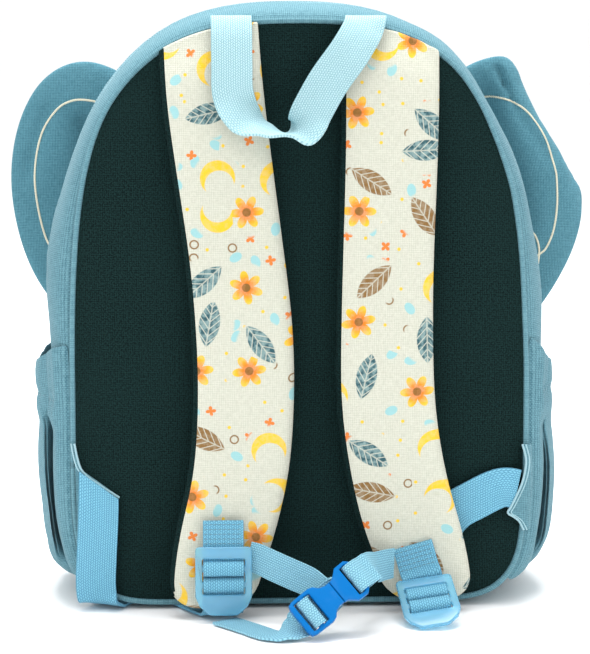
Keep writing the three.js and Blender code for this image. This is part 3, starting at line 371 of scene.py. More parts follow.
@dataclass(frozen=True)
class Woven:
    """Webbing: fine ribs along its length, each with its threads half a step off the next one's."""

    name: str
    deep: Colour
    pale: Colour
    rib_mm: float = 1.15
    pick_mm: float = 1.3
    lean: float = 0.3

    def build(self) -> Material:
        """The finished material."""
        g = Graph(self.name)
        x, y = g.cloth()
        rib = g.math("DIVIDE", x, self.rib_mm)
        odd = g.math("PINGPONG", g.math("FLOOR", rib), 1.0)
        inner = g.math("SUBTRACT", g.math("FRACT", rib), 0.5)
        slant = g.math("MULTIPLY", inner, g.math("MULTIPLY_ADD", odd, 2.0, -1.0))
        beat = g.math("ADD", g.math("DIVIDE", y, self.pick_mm), g.math("MULTIPLY", slant, self.lean * 2))
        beat = g.math("MULTIPLY_ADD", odd, 0.5, beat)
        pick = g.math("ABSOLUTE", g.math("SINE", g.math("MULTIPLY", beat, PI)))
        crown = g.math("COSINE", g.math("MULTIPLY", inner, PI))
        height = g.math("MULTIPLY", g.math("POWER", pick, 0.6), g.math("POWER", crown, 0.5))
        strand = g.noise(g.join(g.math("MULTIPLY", x, 0.5), g.math("MULTIPLY", y, 1.3)), 1.0, 2.0)
        # Crowns of the ribs are painted pale and the gaps between picks dark: painted shade in the weave,
        # with random tone from strand.
        share = g.math("MULTIPLY_ADD", height, 0.8, g.math("MULTIPLY", strand, 0.25))
        colour = g.mix(share, self.deep, self.pale)
        return g.finish(colour, height, 0.0002, roughness=0.7, specular_ior_level=0.25, sheen_weight=0.05)


@dataclass(frozen=True)
class Moulded:
    """Injection-moulded plastic with a faint orange-peel skin and scuffed raised places."""

    name: str
    colour: Colour
    roughness: float = 0.3
    clear: float = 0.0
    shine: float = 0.12

    def build(self) -> Material:
        """The finished material."""
        g = Graph(self.name)
        skin = g.noise(g.place(), 900.0, 2.0)
        scuff = g.steps(g.noise(g.place(), 160.0, 4.0), 0.5, 0.75)
        worn = tuple(0.85 * c + 0.15 for c in self.colour)
        colour = g.mix(g.math("MULTIPLY", scuff, 0.08), self.colour, worn)
        rough = self.roughness if self.clear else g.math("MULTIPLY_ADD", scuff, 0.12, self.roughness)
        relief = None if self.clear else skin
        return g.finish(colour, relief, 0.00004, roughness=rough, transmission_weight=self.clear, ior=1.46,
                        specular_ior_level=self.shine)


@dataclass(frozen=True)
class Thread:
    """Sewing thread, with a fine twist."""

    name: str
    colour: Colour

    def build(self) -> Material:
        """The finished material."""
        g = Graph(self.name)
        fuzz = g.noise(g.times(g.place(), (2.0, 1.0, 1.0)), 2600.0, 1.0)
        # The low places of the fuzz relief are painted darker: painted shade, along with random tone.
        colour = g.mix(fuzz, tuple(0.72 * c for c in self.colour), self.colour)
        return g.finish(colour, fuzz, 0.0001, roughness=0.7, sheen_weight=0.3)


@dataclass(frozen=True)
class ZipTape(Canvas):
    """Zip tape with a coil of teeth along its middle."""

    middle_mm: float = 25.0
    coil_mm: float = 2.5
    tooth_mm: float = 1.4

    def build(self) -> Material:
        """The finished material."""
        g = Graph(self.name)
        share, height = self.threads(g)
        x, y = g.cloth()
        off = g.math("ABSOLUTE", g.math("SUBTRACT", y, self.middle_mm))
        coil = g.math("SUBTRACT", 1.0, g.steps(off, self.coil_mm - 0.3, self.coil_mm))
        slanted = g.math("ADD", x, g.math("MULTIPLY", off, 0.35))
        turn = g.math("ABSOLUTE", g.math("SINE", g.math("MULTIPLY", slanted, PI / self.tooth_mm)))
        height = g.math("MULTIPLY_ADD", g.math("MULTIPLY", coil, turn), 4.0, height)
        # The tape takes the weave's painted shade in its hollows, from threads.
        colour = g.mix(share, self.deep, self.pale)
        # Each tooth is painted pale on its crest and dark between teeth: painted shade on the coil.
        colour = g.mix(g.math("MULTIPLY", coil, 0.8), colour, g.mix(turn, self.deep, self.pale))
        return g.finish(colour, height, 0.00016, roughness=0.7)


CANVAS = Canvas("blue canvas", srgb(40, 86, 101), srgb(120, 164, 175), sheen=0.08)
# A darker copy of the blue canvas for the ears: painted shade for the shadow the bag casts on them.
SHADED_EAR_CANVAS = Canvas("ear canvas", srgb(34, 86, 102), srgb(106, 158, 172), pitch_mm=0.85)
DARK = Canvas("dark green canvas", srgb(0, 0, 2), srgb(24, 46, 45), pitch_mm=1.1, heather=0.6, sheen=0.0,
              shine=0.05, streak=0.9, fleck=1.7)
PRINT = Print("printed canvas", srgb(170, 172, 156), srgb(210, 210, 198), pitch_mm=0.9, heather=0.25)
HANDLE_WEBBING = Woven("pale webbing", srgb(88, 136, 150), srgb(174, 206, 211))
WEBBING = Woven("blue webbing", srgb(26, 94, 132), srgb(126, 190, 212))
CHEST_WEBBING = Woven("chest webbing", srgb(40, 102, 134), srgb(148, 202, 218))
CLEAR = Moulded("frosted plastic", (0.31, 0.73, 0.95), roughness=0.22, clear=0.7, shine=0.3)
BUCKLE = Moulded("blue plastic", srgb(0, 102, 172), roughness=0.34)
CREAM_THREAD = Thread("cream thread", srgb(222, 216, 192))
PALE_THREAD = Thread("pale blue thread", srgb(150, 188, 198))
BLUE_THREAD = Thread("blue thread", srgb(88, 134, 150))
ZIP = ZipTape("zip tape", srgb(84, 126, 140), srgb(130, 170, 182), heather=0.5)

Finish = Union[Canvas, Woven, Moulded, Thread]
_built: dict[str, Material] = {}


def material_of(finish: Finish) -> Material:
    """The one material of a finish, made the first time it is asked for."""
    if finish.name not in _built:
        _built[finish.name] = finish.build()
    return _built[finish.name]


# What every sub-assembly works with


def select_only(*pieces: Object) -> None:
    """Leaves these objects selected and the first of them active."""
    for other in list(bpy.context.selected_objects):
        other.select_set(False)
    for piece in pieces:
        piece.select_set(True)
    bpy.context.view_layer.objects.active = pieces[0] if pieces else None


def edit(piece: Object, *steps: Callable[[], object]) -> None:
    """Runs edit-mode operators on all of a mesh."""
    select_only(piece)
    bpy.ops.object.mode_set(mode="EDIT")
    bpy.ops.mesh.select_all(action="SELECT")
    for step in steps:
        step()
    bpy.ops.object.mode_set(mode="OBJECT")


def apply_modifier(piece: Object, kind: str, **settings: object) -> None:
    """Adds a modifier with these settings and applies it."""
    select_only(piece)
    modifier = piece.modifiers.new(kind.title(), kind)
    for key, value in settings.items():
        setattr(modifier, key, value)
    bpy.ops.object.modifier_apply(modifier=modifier.name)


def add_object(name: str, data: ID) -> Object:
    """Puts a mesh, a curve, a lamp or a camera in the scene."""
    thing = bpy.data.objects.new(name, data)
    bpy.context.scene.collection.objects.link(thing)
    return thing


def points_of(piece: Object) -> np.ndarray:
    """A mesh's points, one to a row."""
    points = np.zeros(3 * len(piece.data.vertices))
    piece.data.vertices.foreach_get("co", points)
    return points.reshape(-1, 3)


def put_points(piece: Object, points: np.ndarray) -> None:
    """Moves a mesh's points."""
    piece.data.vertices.foreach_set("co", np.asarray(points, float).ravel())
    piece.data.update()


def quads_from(nodes: Mapping[str, Object], node: str, name: str, levels: int = 0) -> Object:
    """A piece that starts as a solid's own faces, joined into four-sided ones and smoothed.

    Args:
        nodes: The solids by name.
        node: The solid it starts from.
        name: The piece's name.
        levels: How many times its faces are divided.

    Returns:
        The piece, with its place in its mesh.
    """
    piece = add_object(name, nodes[node].data.copy())
    piece.data.materials.clear()
    edit(
        piece,
        lambda: bpy.ops.mesh.customdata_custom_splitnormals_clear(),
        lambda: bpy.ops.mesh.remove_doubles(threshold=2e-6),
        lambda: bpy.ops.mesh.tris_convert_to_quads(face_threshold=0.9, shape_threshold=1.2),
    )
    if levels:
        apply_modifier(piece, "SUBSURF", levels=levels, render_levels=levels)
    return piece


def lay_cloth(piece: Object, plane: Plane | Field) -> None:
    """Gives a mesh its thread directions, as a UV map in millimetres.

    Args:
        piece: The mesh.
        plane: Two directions of its points, or a function from its points to both places.
    """
    points = points_of(piece)
    spots = plane(points) if callable(plane) else points[:, list(plane.value)] / MM
    corners = np.zeros(len(piece.data.loops), int)
    piece.data.loops.foreach_get("vertex_index", corners)
    for old in list(piece.data.uv_layers):
        piece.data.uv_layers.remove(old)
    piece.data.uv_layers.new(name="cloth").data.foreach_set("uv", spots[corners].ravel())


def dress(
    piece: Object,
    finish: Finish,
    slot: Slot,
    *stands_for: str,
    smooth: float = 180.0,
) -> Object:
    """Gives a finished mesh its material, its shading and its place on the frame.

    Args:
        piece: The mesh.
        finish: What it is made of.
        slot: The record's slot for its finish. It is not used.
        *stands_for: The solids it replaces.
        smooth: The largest angle in degrees that is shaded smooth.

    Returns:
        The piece.
    """
    piece.data.materials.clear()
    piece.data.materials.append(material_of(finish))
    select_only(piece)
    if smooth >= 180:
        bpy.ops.object.shade_smooth()
    else:
        bpy.ops.object.shade_smooth_by_angle(angle=math.radians(smooth))
    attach(piece, "root")
    if stands_for:
        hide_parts(*stands_for)
    LOG.info("%s: %d faces", piece.name, len(piece.data.polygons))
    return piece


def unit(vector: Sequence[float]) -> np.ndarray:
    """A vector of length one."""
    return np.array(vector, float) / np.linalg.norm(vector)


def ripple(points: np.ndarray, size_mm: Sequence[float], seed: float) -> np.ndarray:
    """Smooth noise from -1 to 1 at each point, with folds of a size in millimetres along X, Y and Z."""
    scale = 1 / (np.array(size_mm) * MM)
    return np.array([noise.noise(Vector(row)) for row in points * scale + seed])


def ease(value: np.ndarray, low: float, high: float) -> np.ndarray:
    """0 at low, 1 at high, and smooth between them."""
    t = np.clip((value - low) / (high - low), 0, 1)
    return t * t * (3 - 2 * t)


def away_from(spots: np.ndarray, start_mm: Sequence[float], end_mm: Sequence[float]) -> np.ndarray:
    """How far each spot in X and Z is from a straight line between two places in millimetres."""
    start, run = np.array(start_mm) * MM, (np.array(end_mm) - np.array(start_mm)) * MM
    share = np.clip((spots - start) @ run / run.dot(run), 0, 1)
    return np.linalg.norm(spots - start - share[:, None] * run, axis=1)


def lean(points: np.ndarray, rows_mm: Sequence[Sequence[float]], ear: bool) -> np.ndarray:
    """Moves the right side's points sideways by their height, as a bag that stands a little askew.

    Args:
        points: The points.
        rows_mm: Heights, and how far the back seam, the sides beyond it and the ear move there.
        ear: Whether the points are the ear's.

    Returns:
        The points in their new places.
    """
    heights, seam, side, ears = np.array(rows_mm).T * MM
    x, z = points[:, 0], points[:, 2]
    beyond = ease(x, 0.111, 0.122)
    body = np.interp(z, heights, seam) * (1 - beyond) + np.interp(z, heights, side) * beyond
    moved = np.interp(z, heights, ears) if ear else body
    return points + np.outer(moved * ease(x, 0.070, 0.106), (1, 0, 0))


def outline_of(piece: Object) -> np.ndarray:
    """The outline of a piece seen from the front, as its points in X and Z, in order."""
    flat = sorted({(round(x, 6), round(z, 6)) for x, _, z in points_of(piece)})

    def chain(rows: Sequence[tuple[float, float]]) -> list[tuple[float, float]]:
        """One side of the outline."""
        kept: list[tuple[float, float]] = []
        for x, z in rows:
            while len(kept) > 1:
                (ax, az), (bx, bz) = kept[-2:]
                if (bx - ax) * (z - az) - (bz - az) * (x - ax) > 0:
                    break
                kept.pop()
            kept.append((x, z))
        return kept[:-1]

    return np.array(chain(flat) + chain(flat[::-1]))


def nearest_on(outline: np.ndarray, spots: np.ndarray) -> tuple[np.ndarray, np.ndarray]:
    """How far each spot is from an outline, and how far along it the nearest place is."""
    starts, ends = outline, np.roll(outline, -1, 0)
    runs = ends - starts
    lengths = np.linalg.norm(runs, axis=1)
    before = np.concatenate([[0], np.cumsum(lengths)[:-1]])
    share = np.einsum("pij,ij->pi", spots[:, None] - starts, runs) / lengths**2
    share = np.clip(share, 0, 1)
    away = np.linalg.norm(spots[:, None] - (starts + share[..., None] * runs), axis=2)
    best = away.argmin(1)
    rows = np.arange(len(spots))
    return away[rows, best], before[best] + share[rows, best] * lengths[best]


def smooth_path(points: Sequence[Sequence[float]], step: float, closed: bool = False) -> np.ndarray:
    """A smooth line through points, as places an even step apart."""
    rows = np.array(points, float)
    count = len(rows)
    fine = []
    for i in range(count if closed else count - 1):
        pick = [(i + k) % count if closed else min(max(i + k, 0), count - 1) for k in (-1, 0, 1, 2)]
        a, b, c, d = rows[pick]
        for t in np.linspace(0, 1, 24, endpoint=False):
            bend, twist = 2 * a - 5 * b + 4 * c - d, 3 * b - a - 3 * c + d
            fine.append(0.5 * (2 * b + (c - a) * t + bend * t**2 + twist * t**3))
    fine.append(fine[0] if closed else rows[-1])
    line = np.array(fine)
    along = np.concatenate([[0], np.cumsum(np.linalg.norm(np.diff(line, axis=0), axis=1))])
    places = np.linspace(0, along[-1], max(2, int(along[-1] / step) + 1))
    return np.stack([np.interp(places, along, line[:, k]) for k in range(line.shape[1])], 1)


def drop_onto(piece: Object, spots: np.ndarray, towards: Sequence[float]) -> tuple[np.ndarray, np.ndarray]:
    """Casts places onto a mesh.

    Args:
        piece: The mesh.
        spots: Places whose part along the direction is not used.
        towards: The direction of the cast.

    Returns:
        The places that meet it, and the way out of its surface at each.
    """
    tree = BVHTree.FromObject(piece, bpy.context.evaluated_depsgraph_get())
    way = Vector(towards).normalized()
    found = []
    for spot in spots:
        place = Vector(spot)
        place -= way * place.dot(way)
        hit, normal, _, _ = tree.ray_cast(place - way * CAST_FROM, way)
        if hit is not None:
            found.append((hit, normal if normal.dot(way) < 0 else -normal))
    return np.array([h for h, _ in found]), np.array([n for _, n in found])


@dataclass(frozen=True)
class Stitch:
    """One stitch: its size in millimetres, the step to the next, and how far it leans."""

    long: float
    wide: float
    high: float
    step: float
    lean: float = 0.0
    sunk: float = 0.35

    def sew(self, name: str, path: np.ndarray, out: np.ndarray) -> Object:
        """Copies the stitch along a path.

        Args:
            name: The piece's name.
            path: Places one step apart.
            out: The way out of the cloth at each place.

        Returns:
            All the stitches as one mesh.
        """
        select_only()
        bpy.ops.mesh.primitive_uv_sphere_add(segments=8, ring_count=5, radius=0.5)
        seed = bpy.context.object
        shape = points_of(seed)
        faces = [tuple(p.vertices) for p in seed.data.polygons]
        bpy.data.objects.remove(seed)
        shape = shape[:, [2, 0, 1]] * np.array([self.long, self.wide, self.high]) * MM
        cosine, sine = math.cos(self.lean), math.sin(self.lean)
        shape[:, :2] = shape[:, :2] @ np.array([[cosine, sine], [-sine, cosine]])
        ways = np.gradient(path, axis=0)
        ways /= np.linalg.norm(ways, axis=1)[:, None] + 1e-12
        sides = np.cross(out, ways)
        sides /= np.linalg.norm(sides, axis=1)[:, None] + 1e-12
        tops = np.cross(ways, sides)
        middles = path + tops * self.high * (0.5 - self.sunk) * MM
        axes = np.stack([ways, sides, tops], 1)
        points = np.einsum("pk,nkc->npc", shape, axes) + middles[:, None]
        mesh = bpy.data.meshes.new(name)
        count = len(shape)
        mesh.from_pydata(points.reshape(-1, 3).tolist(), [],
                         [tuple(v + n * count for v in f) for n in range(len(path)) for f in faces])
        piece = add_object(name, mesh)
        edit(piece, lambda: bpy.ops.mesh.normals_make_consistent(inside=False))
        return piece


def cord_along(name: str, path: np.ndarray, radius: float, closed: bool) -> Object:
    """A round cord along a path, as a mesh."""
    curve = bpy.data.curves.new(name, "CURVE")
    curve.dimensions = "3D"
    curve.bevel_depth = radius
    curve.bevel_resolution = 3
    curve.use_fill_caps = not closed
    spline = curve.splines.new("POLY")
    spline.points.add(len(path) - 1)
    spline.points.foreach_set("co", np.hstack([path, np.ones((len(path), 1))]).ravel())
    spline.use_cyclic_u = closed
    select_only(add_object(name, curve))
    bpy.ops.object.convert(target="MESH")
    piece = bpy.context.object
    edit(piece, lambda: bpy.ops.mesh.remove_doubles(threshold=1e-6),
         lambda: bpy.ops.mesh.normals_make_consistent(inside=False))
    return piece


@dataclass(frozen=True)
class Route:
    """How a webbing runs: rows of its middle and of the way across it, as the solids have them.

    Lengths are in millimetres. finer is how many cells it has along it for each step of the solid.
    """

    rows: Sequence[Sequence[float]]
    width: float
    thickness: float
    steps: int
    cut: float = 0.0
    finer: int = 3
    ribs: int = 2
    relief: float = 0.05

    def point(self, t: float) -> np.ndarray:
        """A place on the middle line, a centripetal curve through the rows, at a share of it."""
        rows = np.array([row[:3] for row in self.rows])
        last = len(rows) - 1
        place = last * t
        i = min(int(place), last - 1)
        weight = place - i
        b, c = rows[i], rows[i + 1]
        a = rows[i - 1] if i else 2 * rows[0] - rows[1]
        d = rows[i + 2] if i + 2 <= last else 2 * rows[last] - rows[last - 1]
        gaps = [max(float(np.dot(q - p, q - p)) ** 0.25, 1e-4) for p, q in ((a, b), (b, c), (c, d))]
        g0, g1, g2 = gaps
        slope1 = ((b - a) / g0 - (c - a) / (g0 + g1) + (c - b) / g1) * g1
        slope2 = ((c - b) / g1 - (d - b) / (g1 + g2) + (d - c) / g2) * g1
        bend, twist = 3 * (c - b) - 2 * slope1 - slope2, 2 * (b - c) + slope1 + slope2
        return b + slope1 * weight + bend * weight**2 + twist * weight**3

    def across(self, t: float, tangent: np.ndarray) -> np.ndarray:
        """The way across the webbing at a share of its length."""
        place = t * (len(self.rows) - 1)
        i = min(len(self.rows) - 2, int(place))
        mix = (place - i) ** 2 * (3 - 2 * (place - i))
        first, second = (unit(self.rows[k][3:]) for k in (i, i + 1))
        way = first + (second - first) * mix
        way -= tangent * way.dot(tangent)
        return way / np.linalg.norm(way)

    def weave(self, name: str, columns: int) -> Object:
        """Makes the webbing from a grid.

        Args:
            name: The piece's name.
            columns: Cells across it.

        Returns:
            A closed piece with its cloth laid along it.
        """
        rows = self.steps * self.finer
        select_only()
        bpy.ops.mesh.primitive_grid_add(x_subdivisions=columns, y_subdivisions=rows, size=1.0)
        piece = bpy.context.object
        piece.name = name
        flat = points_of(piece) + 0.5
        shares, places = flat[:, 0], np.rint(flat[:, 1] * rows).astype(int)
        line = np.array([self.point(n / rows) for n in range(rows + 1)])
        spans = [(max(0, n / rows - 1e-4), min(1, n / rows + 1e-4)) for n in range(rows + 1)]
        tangents = np.array([unit(self.point(after) - self.point(before)) for before, after in spans])
        ways = np.array([self.across(n / rows, tangents[n]) for n in range(rows + 1)])
        normals = np.cross(tangents, ways)
        along = np.concatenate([[0], np.cumsum(np.linalg.norm(np.diff(line, axis=0), axis=1))])
        side = (shares - 0.5) * self.width
        cut = self.cut * np.clip(1 - along[places] / self.width, 0, 1)
        rise = -self.relief * np.cos(shares * 2 * PI * self.ribs)
        points = line[places] + ways[places] * side[:, None] + tangents[places] * (side * cut)[:, None]
        put_points(piece, (points + normals[places] * rise[:, None]) * MM)
        spots = np.stack([side + self.width, along[places]], 1)
        lay_cloth(piece, lambda _: spots)
        apply_modifier(piece, "SOLIDIFY", thickness=(self.thickness - 2 * self.relief) * MM, offset=0.0)
        edit(piece, lambda: bpy.ops.mesh.normals_make_consistent(inside=False))
        return piece


@dataclass(frozen=True)
class Mount:
    """A piece of hardware that webbing passes through: its top, and the ways along it and across it."""

    top: Sequence[float]
    along: Sequence[float]
    across: Sequence[float]

    def rows(self, *spots: Sequence[float], turned: bool = False) -> list[Sequence[float]]:
        """Rows of the webbing on its way through.

        Args:
            *spots: How far across, along and out of the hardware each row is, and a way across of its own,
                if it doesn't lie as the hardware does.
            turned: Whether the webbing lies with its other face up.

        Returns:
            The rows as a route has them.
        """
        along = unit(self.along)
        across = unit(np.array(self.across) - along * np.dot(along, self.across))
        out = np.cross(along, across)
        top, lie = np.array(self.top), -across if turned else across
        return [(*(top + across * u + along * v + out * w), *(own or lie)) for u, v, w, *own in spots]


BUCKLE_LONG = 37.0
BUCKLE_TURN, BUCKLE_LEAN = math.radians(38), math.radians(25)
BUCKLE_UP = np.array((0, math.sin(BUCKLE_LEAN), math.cos(BUCKLE_LEAN)))
BUCKLE_WAY = BUCKLE_UP * math.sin(BUCKLE_TURN) + (math.cos(BUCKLE_TURN), 0, 0)
BUCKLE_AT = Mount(
    np.array((11.9, -108, 18.4)) - BUCKLE_WAY * BUCKLE_LONG / 2,
    BUCKLE_WAY,
    BUCKLE_UP * math.cos(BUCKLE_TURN) - (math.sin(BUCKLE_TURN), 0, 0),
)
LEFT_LOCK = Mount((-38.3, -77.6, 38.3), (0, -0.03, -1), (1, 0, 0))
RIGHT_LOCK = Mount((61.5, -69.6, 18), (0.1, -0.87, -0.48), (1, 0, 0.12))
ROUND_BAR = (
    (0, 15.9, -0.6), (0, 16.2, 1.2), (0, 17, 3), (0, 19, 3.6), (0, 21, 3), (0, 22.1, 1.2), (0, 22.6, -0.5),
)

ROUTES: dict[str, Route] = {
    "carry_handle": Route(
        width=20, thickness=1.4, steps=42,
        rows=(
            (-33, -49.4, 297.2, 1, 0, 0), (-33, -54.5, 297.2, 1, 0, 0), (-33, -60.5, 290, 1, 0, 0),
            (-33, -66, 274, 1, 0, 0), (-32.5, -69.5, 260, 1, 0, 0.03), (-27.5, -72, 249.5, 0.85, 0.45, 0.4),
            (-17, -73.5, 243.5, 0.3, 0.95, 0.2), (-6, -74, 241, -0.3, 0.95, 0),
            (1, -73.5, 243, -0.8, 0.55, 0.3),
            (5.5, -72.5, 252, -0.9, 0.1, 0.43), (13.5, -70.5, 266, -0.87, 0, 0.5),
            (24.5, -66.5, 281, -0.86, 0, 0.5),
            (31, -60.5, 291.5, -0.93, 0, 0.3), (33, -54.5, 297.2, -1, 0, 0), (33, -49.4, 297.2, -1, 0, 0),
        ),
    ),
    "adjuster_loop_left": Route(
        width=20, thickness=1.4, steps=30,
        rows=LEFT_LOCK.rows(
            (0, -12.5, -1), (0, -6, -1), (0, 0, -1), (0, 5, -0.95), (0, 7.3, -0.3), (0, 7.8, 1.2),
            (0, 8.4, 2.9),
            (0, 11, 3.7), (0, 13.4, 2.9), (0, 14.2, 1.2), (0, 14, -0.8), (0, 12.4, -2.4), (0, 8, -2.7),
            (0, 0, -2.7), (0, -6, -2.7), (0, -12.5, -2.7),
        ),
    ),
    "adjuster_loop_right": Route(
        width=20, thickness=1.4, steps=34,
        rows=(
            (56.32, -69.23, 35.76, 0.96, 0, 0.28), (58.14, -68.76, 29.52, 0.96, 0, 0.28),
            (59.82, -68.67, 23.76, 0.96, 0, 0.28),
            *RIGHT_LOCK.rows(
                (0, -1.3, 2), (0, -1.1, 0), (0, 0.6, -1.2), (0, 3.6, -1.3), (0, 6.3, -0.8), (0, 7.7, 0.8),
                (0, 8.5, 2.9), (0, 11, 3.7), (0, 13.5, 2.9), (0, 14.2, 0.8), (0, 13, -1.9), (0, 9, -3.1),
                (0, 3, -3.2), (0, -1.6, -2.6), (0, -3, -0.4),
            ),
            (59.82, -66.75, 23.76, 0.96, 0, 0.28), (58.14, -67.01, 29.52, 0.96, 0, 0.28),
            (56.32, -67.48, 35.76, 0.96, 0, 0.28),
        ),
    ),
    "lower_webbing_left": Route(
        width=20, thickness=1.4, steps=46, cut=0.7,
        rows=(
            (-100, -55, 65, 1, 0, 0), (-100.5, -55.1, 47, 1, 0, 0), (-101.5, -55, 28, 1, 0, -0.02),
            (-102, -54.8, 13, 0.99, 0, -0.08), (-101, -53.6, 6.2, 0.97, 0, -0.24),
            (-98, -48.5, 3, 0.99, 0, -0.13),
            (-94.5, -41, 1.8, 0.82, -0.57, 0), (-86, -31.5, 1.6, 0.48, -0.88, 0),
            (-73.5, -28.5, 1.6, 0, -1, 0),
            (-61.5, -33, 1.6, -0.6, -0.8, 0), (-53.5, -43, 1.6, -0.84, -0.54, 0),
            (-47, -55, 1.7, -0.88, -0.47, 0),
            (-42.5, -63.5, 2, -0.93, -0.36, 0), (-39.5, -70.5, 2.9, -0.98, -0.2, 0),
            (-38.3, -74.4, 6, -1, 0, 0), (-38.3, -74.9, 12, -1, 0, 0),
            *LEFT_LOCK.rows(*ROUND_BAR, (0, 28, -1), (0, 32, -1), turned=True),
        ),
    ),
    "lower_webbing_right": Route(
        width=20, thickness=1.4, steps=34,
        rows=(
            (108, -54.9, 60.9, 0.36, 0, 0.933), (103, -55, 61.9, 0.36, 0, 0.933),
            (98.5, -55, 61.3, 0.2, 0, 0.98),
            (87, -54.9, 55.2, -0.35, 0, 0.937), (78, -54.8, 49.4, -0.62, 0, 0.78),
            (72, -54.7, 40.5, -0.9, 0, 0.43),
            (69.6, -54.6, 29.5, -0.98, 0, 0.17), (68.6, -54.6, 18, -0.99, 0, 0.1),
            (67.5, -54.6, 7, -0.98, 0, 0.1),
            (66, -57, 2.6, -1, 0, 0), (65, -62.5, 1.6, -1, 0, 0), (64.3, -70, 1.8, -1, 0, 0),
            (63.5, -76.5, 4.6, -1, 0, -0.1),
            *RIGHT_LOCK.rows(*ROUND_BAR, (0, 24.6, -1.3), turned=True),
        ),
    ),
    "chest_strap_left": Route(
        width=15, thickness=1.2, steps=46,
        rows=(
            (-26, -75.9, 32.8, 0.12, 0, 0.98), (-21, -76.9, 31.6, 0.15, 0, 0.98),
            (-14.5, -81, 29.3, 0.2, 0, 0.98),
            (-5, -85.5, 25.8, 0.2, 0, 0.98), (3.5, -90, 22.8, 0.15, 0, 0.98),
            *BUCKLE_AT.rows(
                (3, 21.4, -8.2, 0.03, 0, 1), (1.8, 24.4, -6.2, -0.2, 0.12, 0.97),
                (1.2, 21.4, -4.2, -0.46, 0.24, 0.85),
                (0.6, 17.2, -3), (0, 13.6, -1.9), (0, 10.8, -0.4), (0, 10.2, 2.5), (0, 9.6, 5),
                (0, 7.3, 6.1),
                (0, 5, 5), (0, 4.4, 2.5), (0, 3.8, -0.2), (0, 0.8, -1.6), (0, -3, -2.2, -0.5, 0.75, 0.35),
            ),
            (-10.5, -112.4, 3.4, -0.2, 0.97, 0.1), (-15.5, -110.5, 1.9, 0.35, 0.93, 0),
            (-19.5, -106, 1.5, 0.75, 0.66, 0), (-23, -100.5, 1.4, 0.84, 0.54, 0),
            (-31.5, -89, 1.4, 0.84, 0.54, 0), (-38, -80.5, 1.4, 0.82, 0.57, 0),
        ),
    ),
    "chest_strap_right": Route(
        width=15, thickness=1.2, steps=22,
        rows=(
            (46.5, -71.5, 27.4, 0.1, 0.1, 0.98), (42, -76.5, 27.8, 0, 0.15, 0.98),
            (37, -84.5, 28.6, -0.2, 0.2, 0.95),
            *BUCKLE_AT.rows(
                (0, BUCKLE_LONG + 8, -1.6), (0, BUCKLE_LONG + 1, -1.7), (0, BUCKLE_LONG - 3.4, -0.8),
                (0, BUCKLE_LONG - 4.3, 2.5), (0, BUCKLE_LONG - 3.5, 5.3), (0, BUCKLE_LONG - 0.8, 6.1),
                (0, BUCKLE_LONG + 2.2, 4.2), (0, BUCKLE_LONG + 4.6, 1.2), (0, BUCKLE_LONG + 8.2, 0.2),
            ),
        ),
    ),
}


# The sub-assemblies


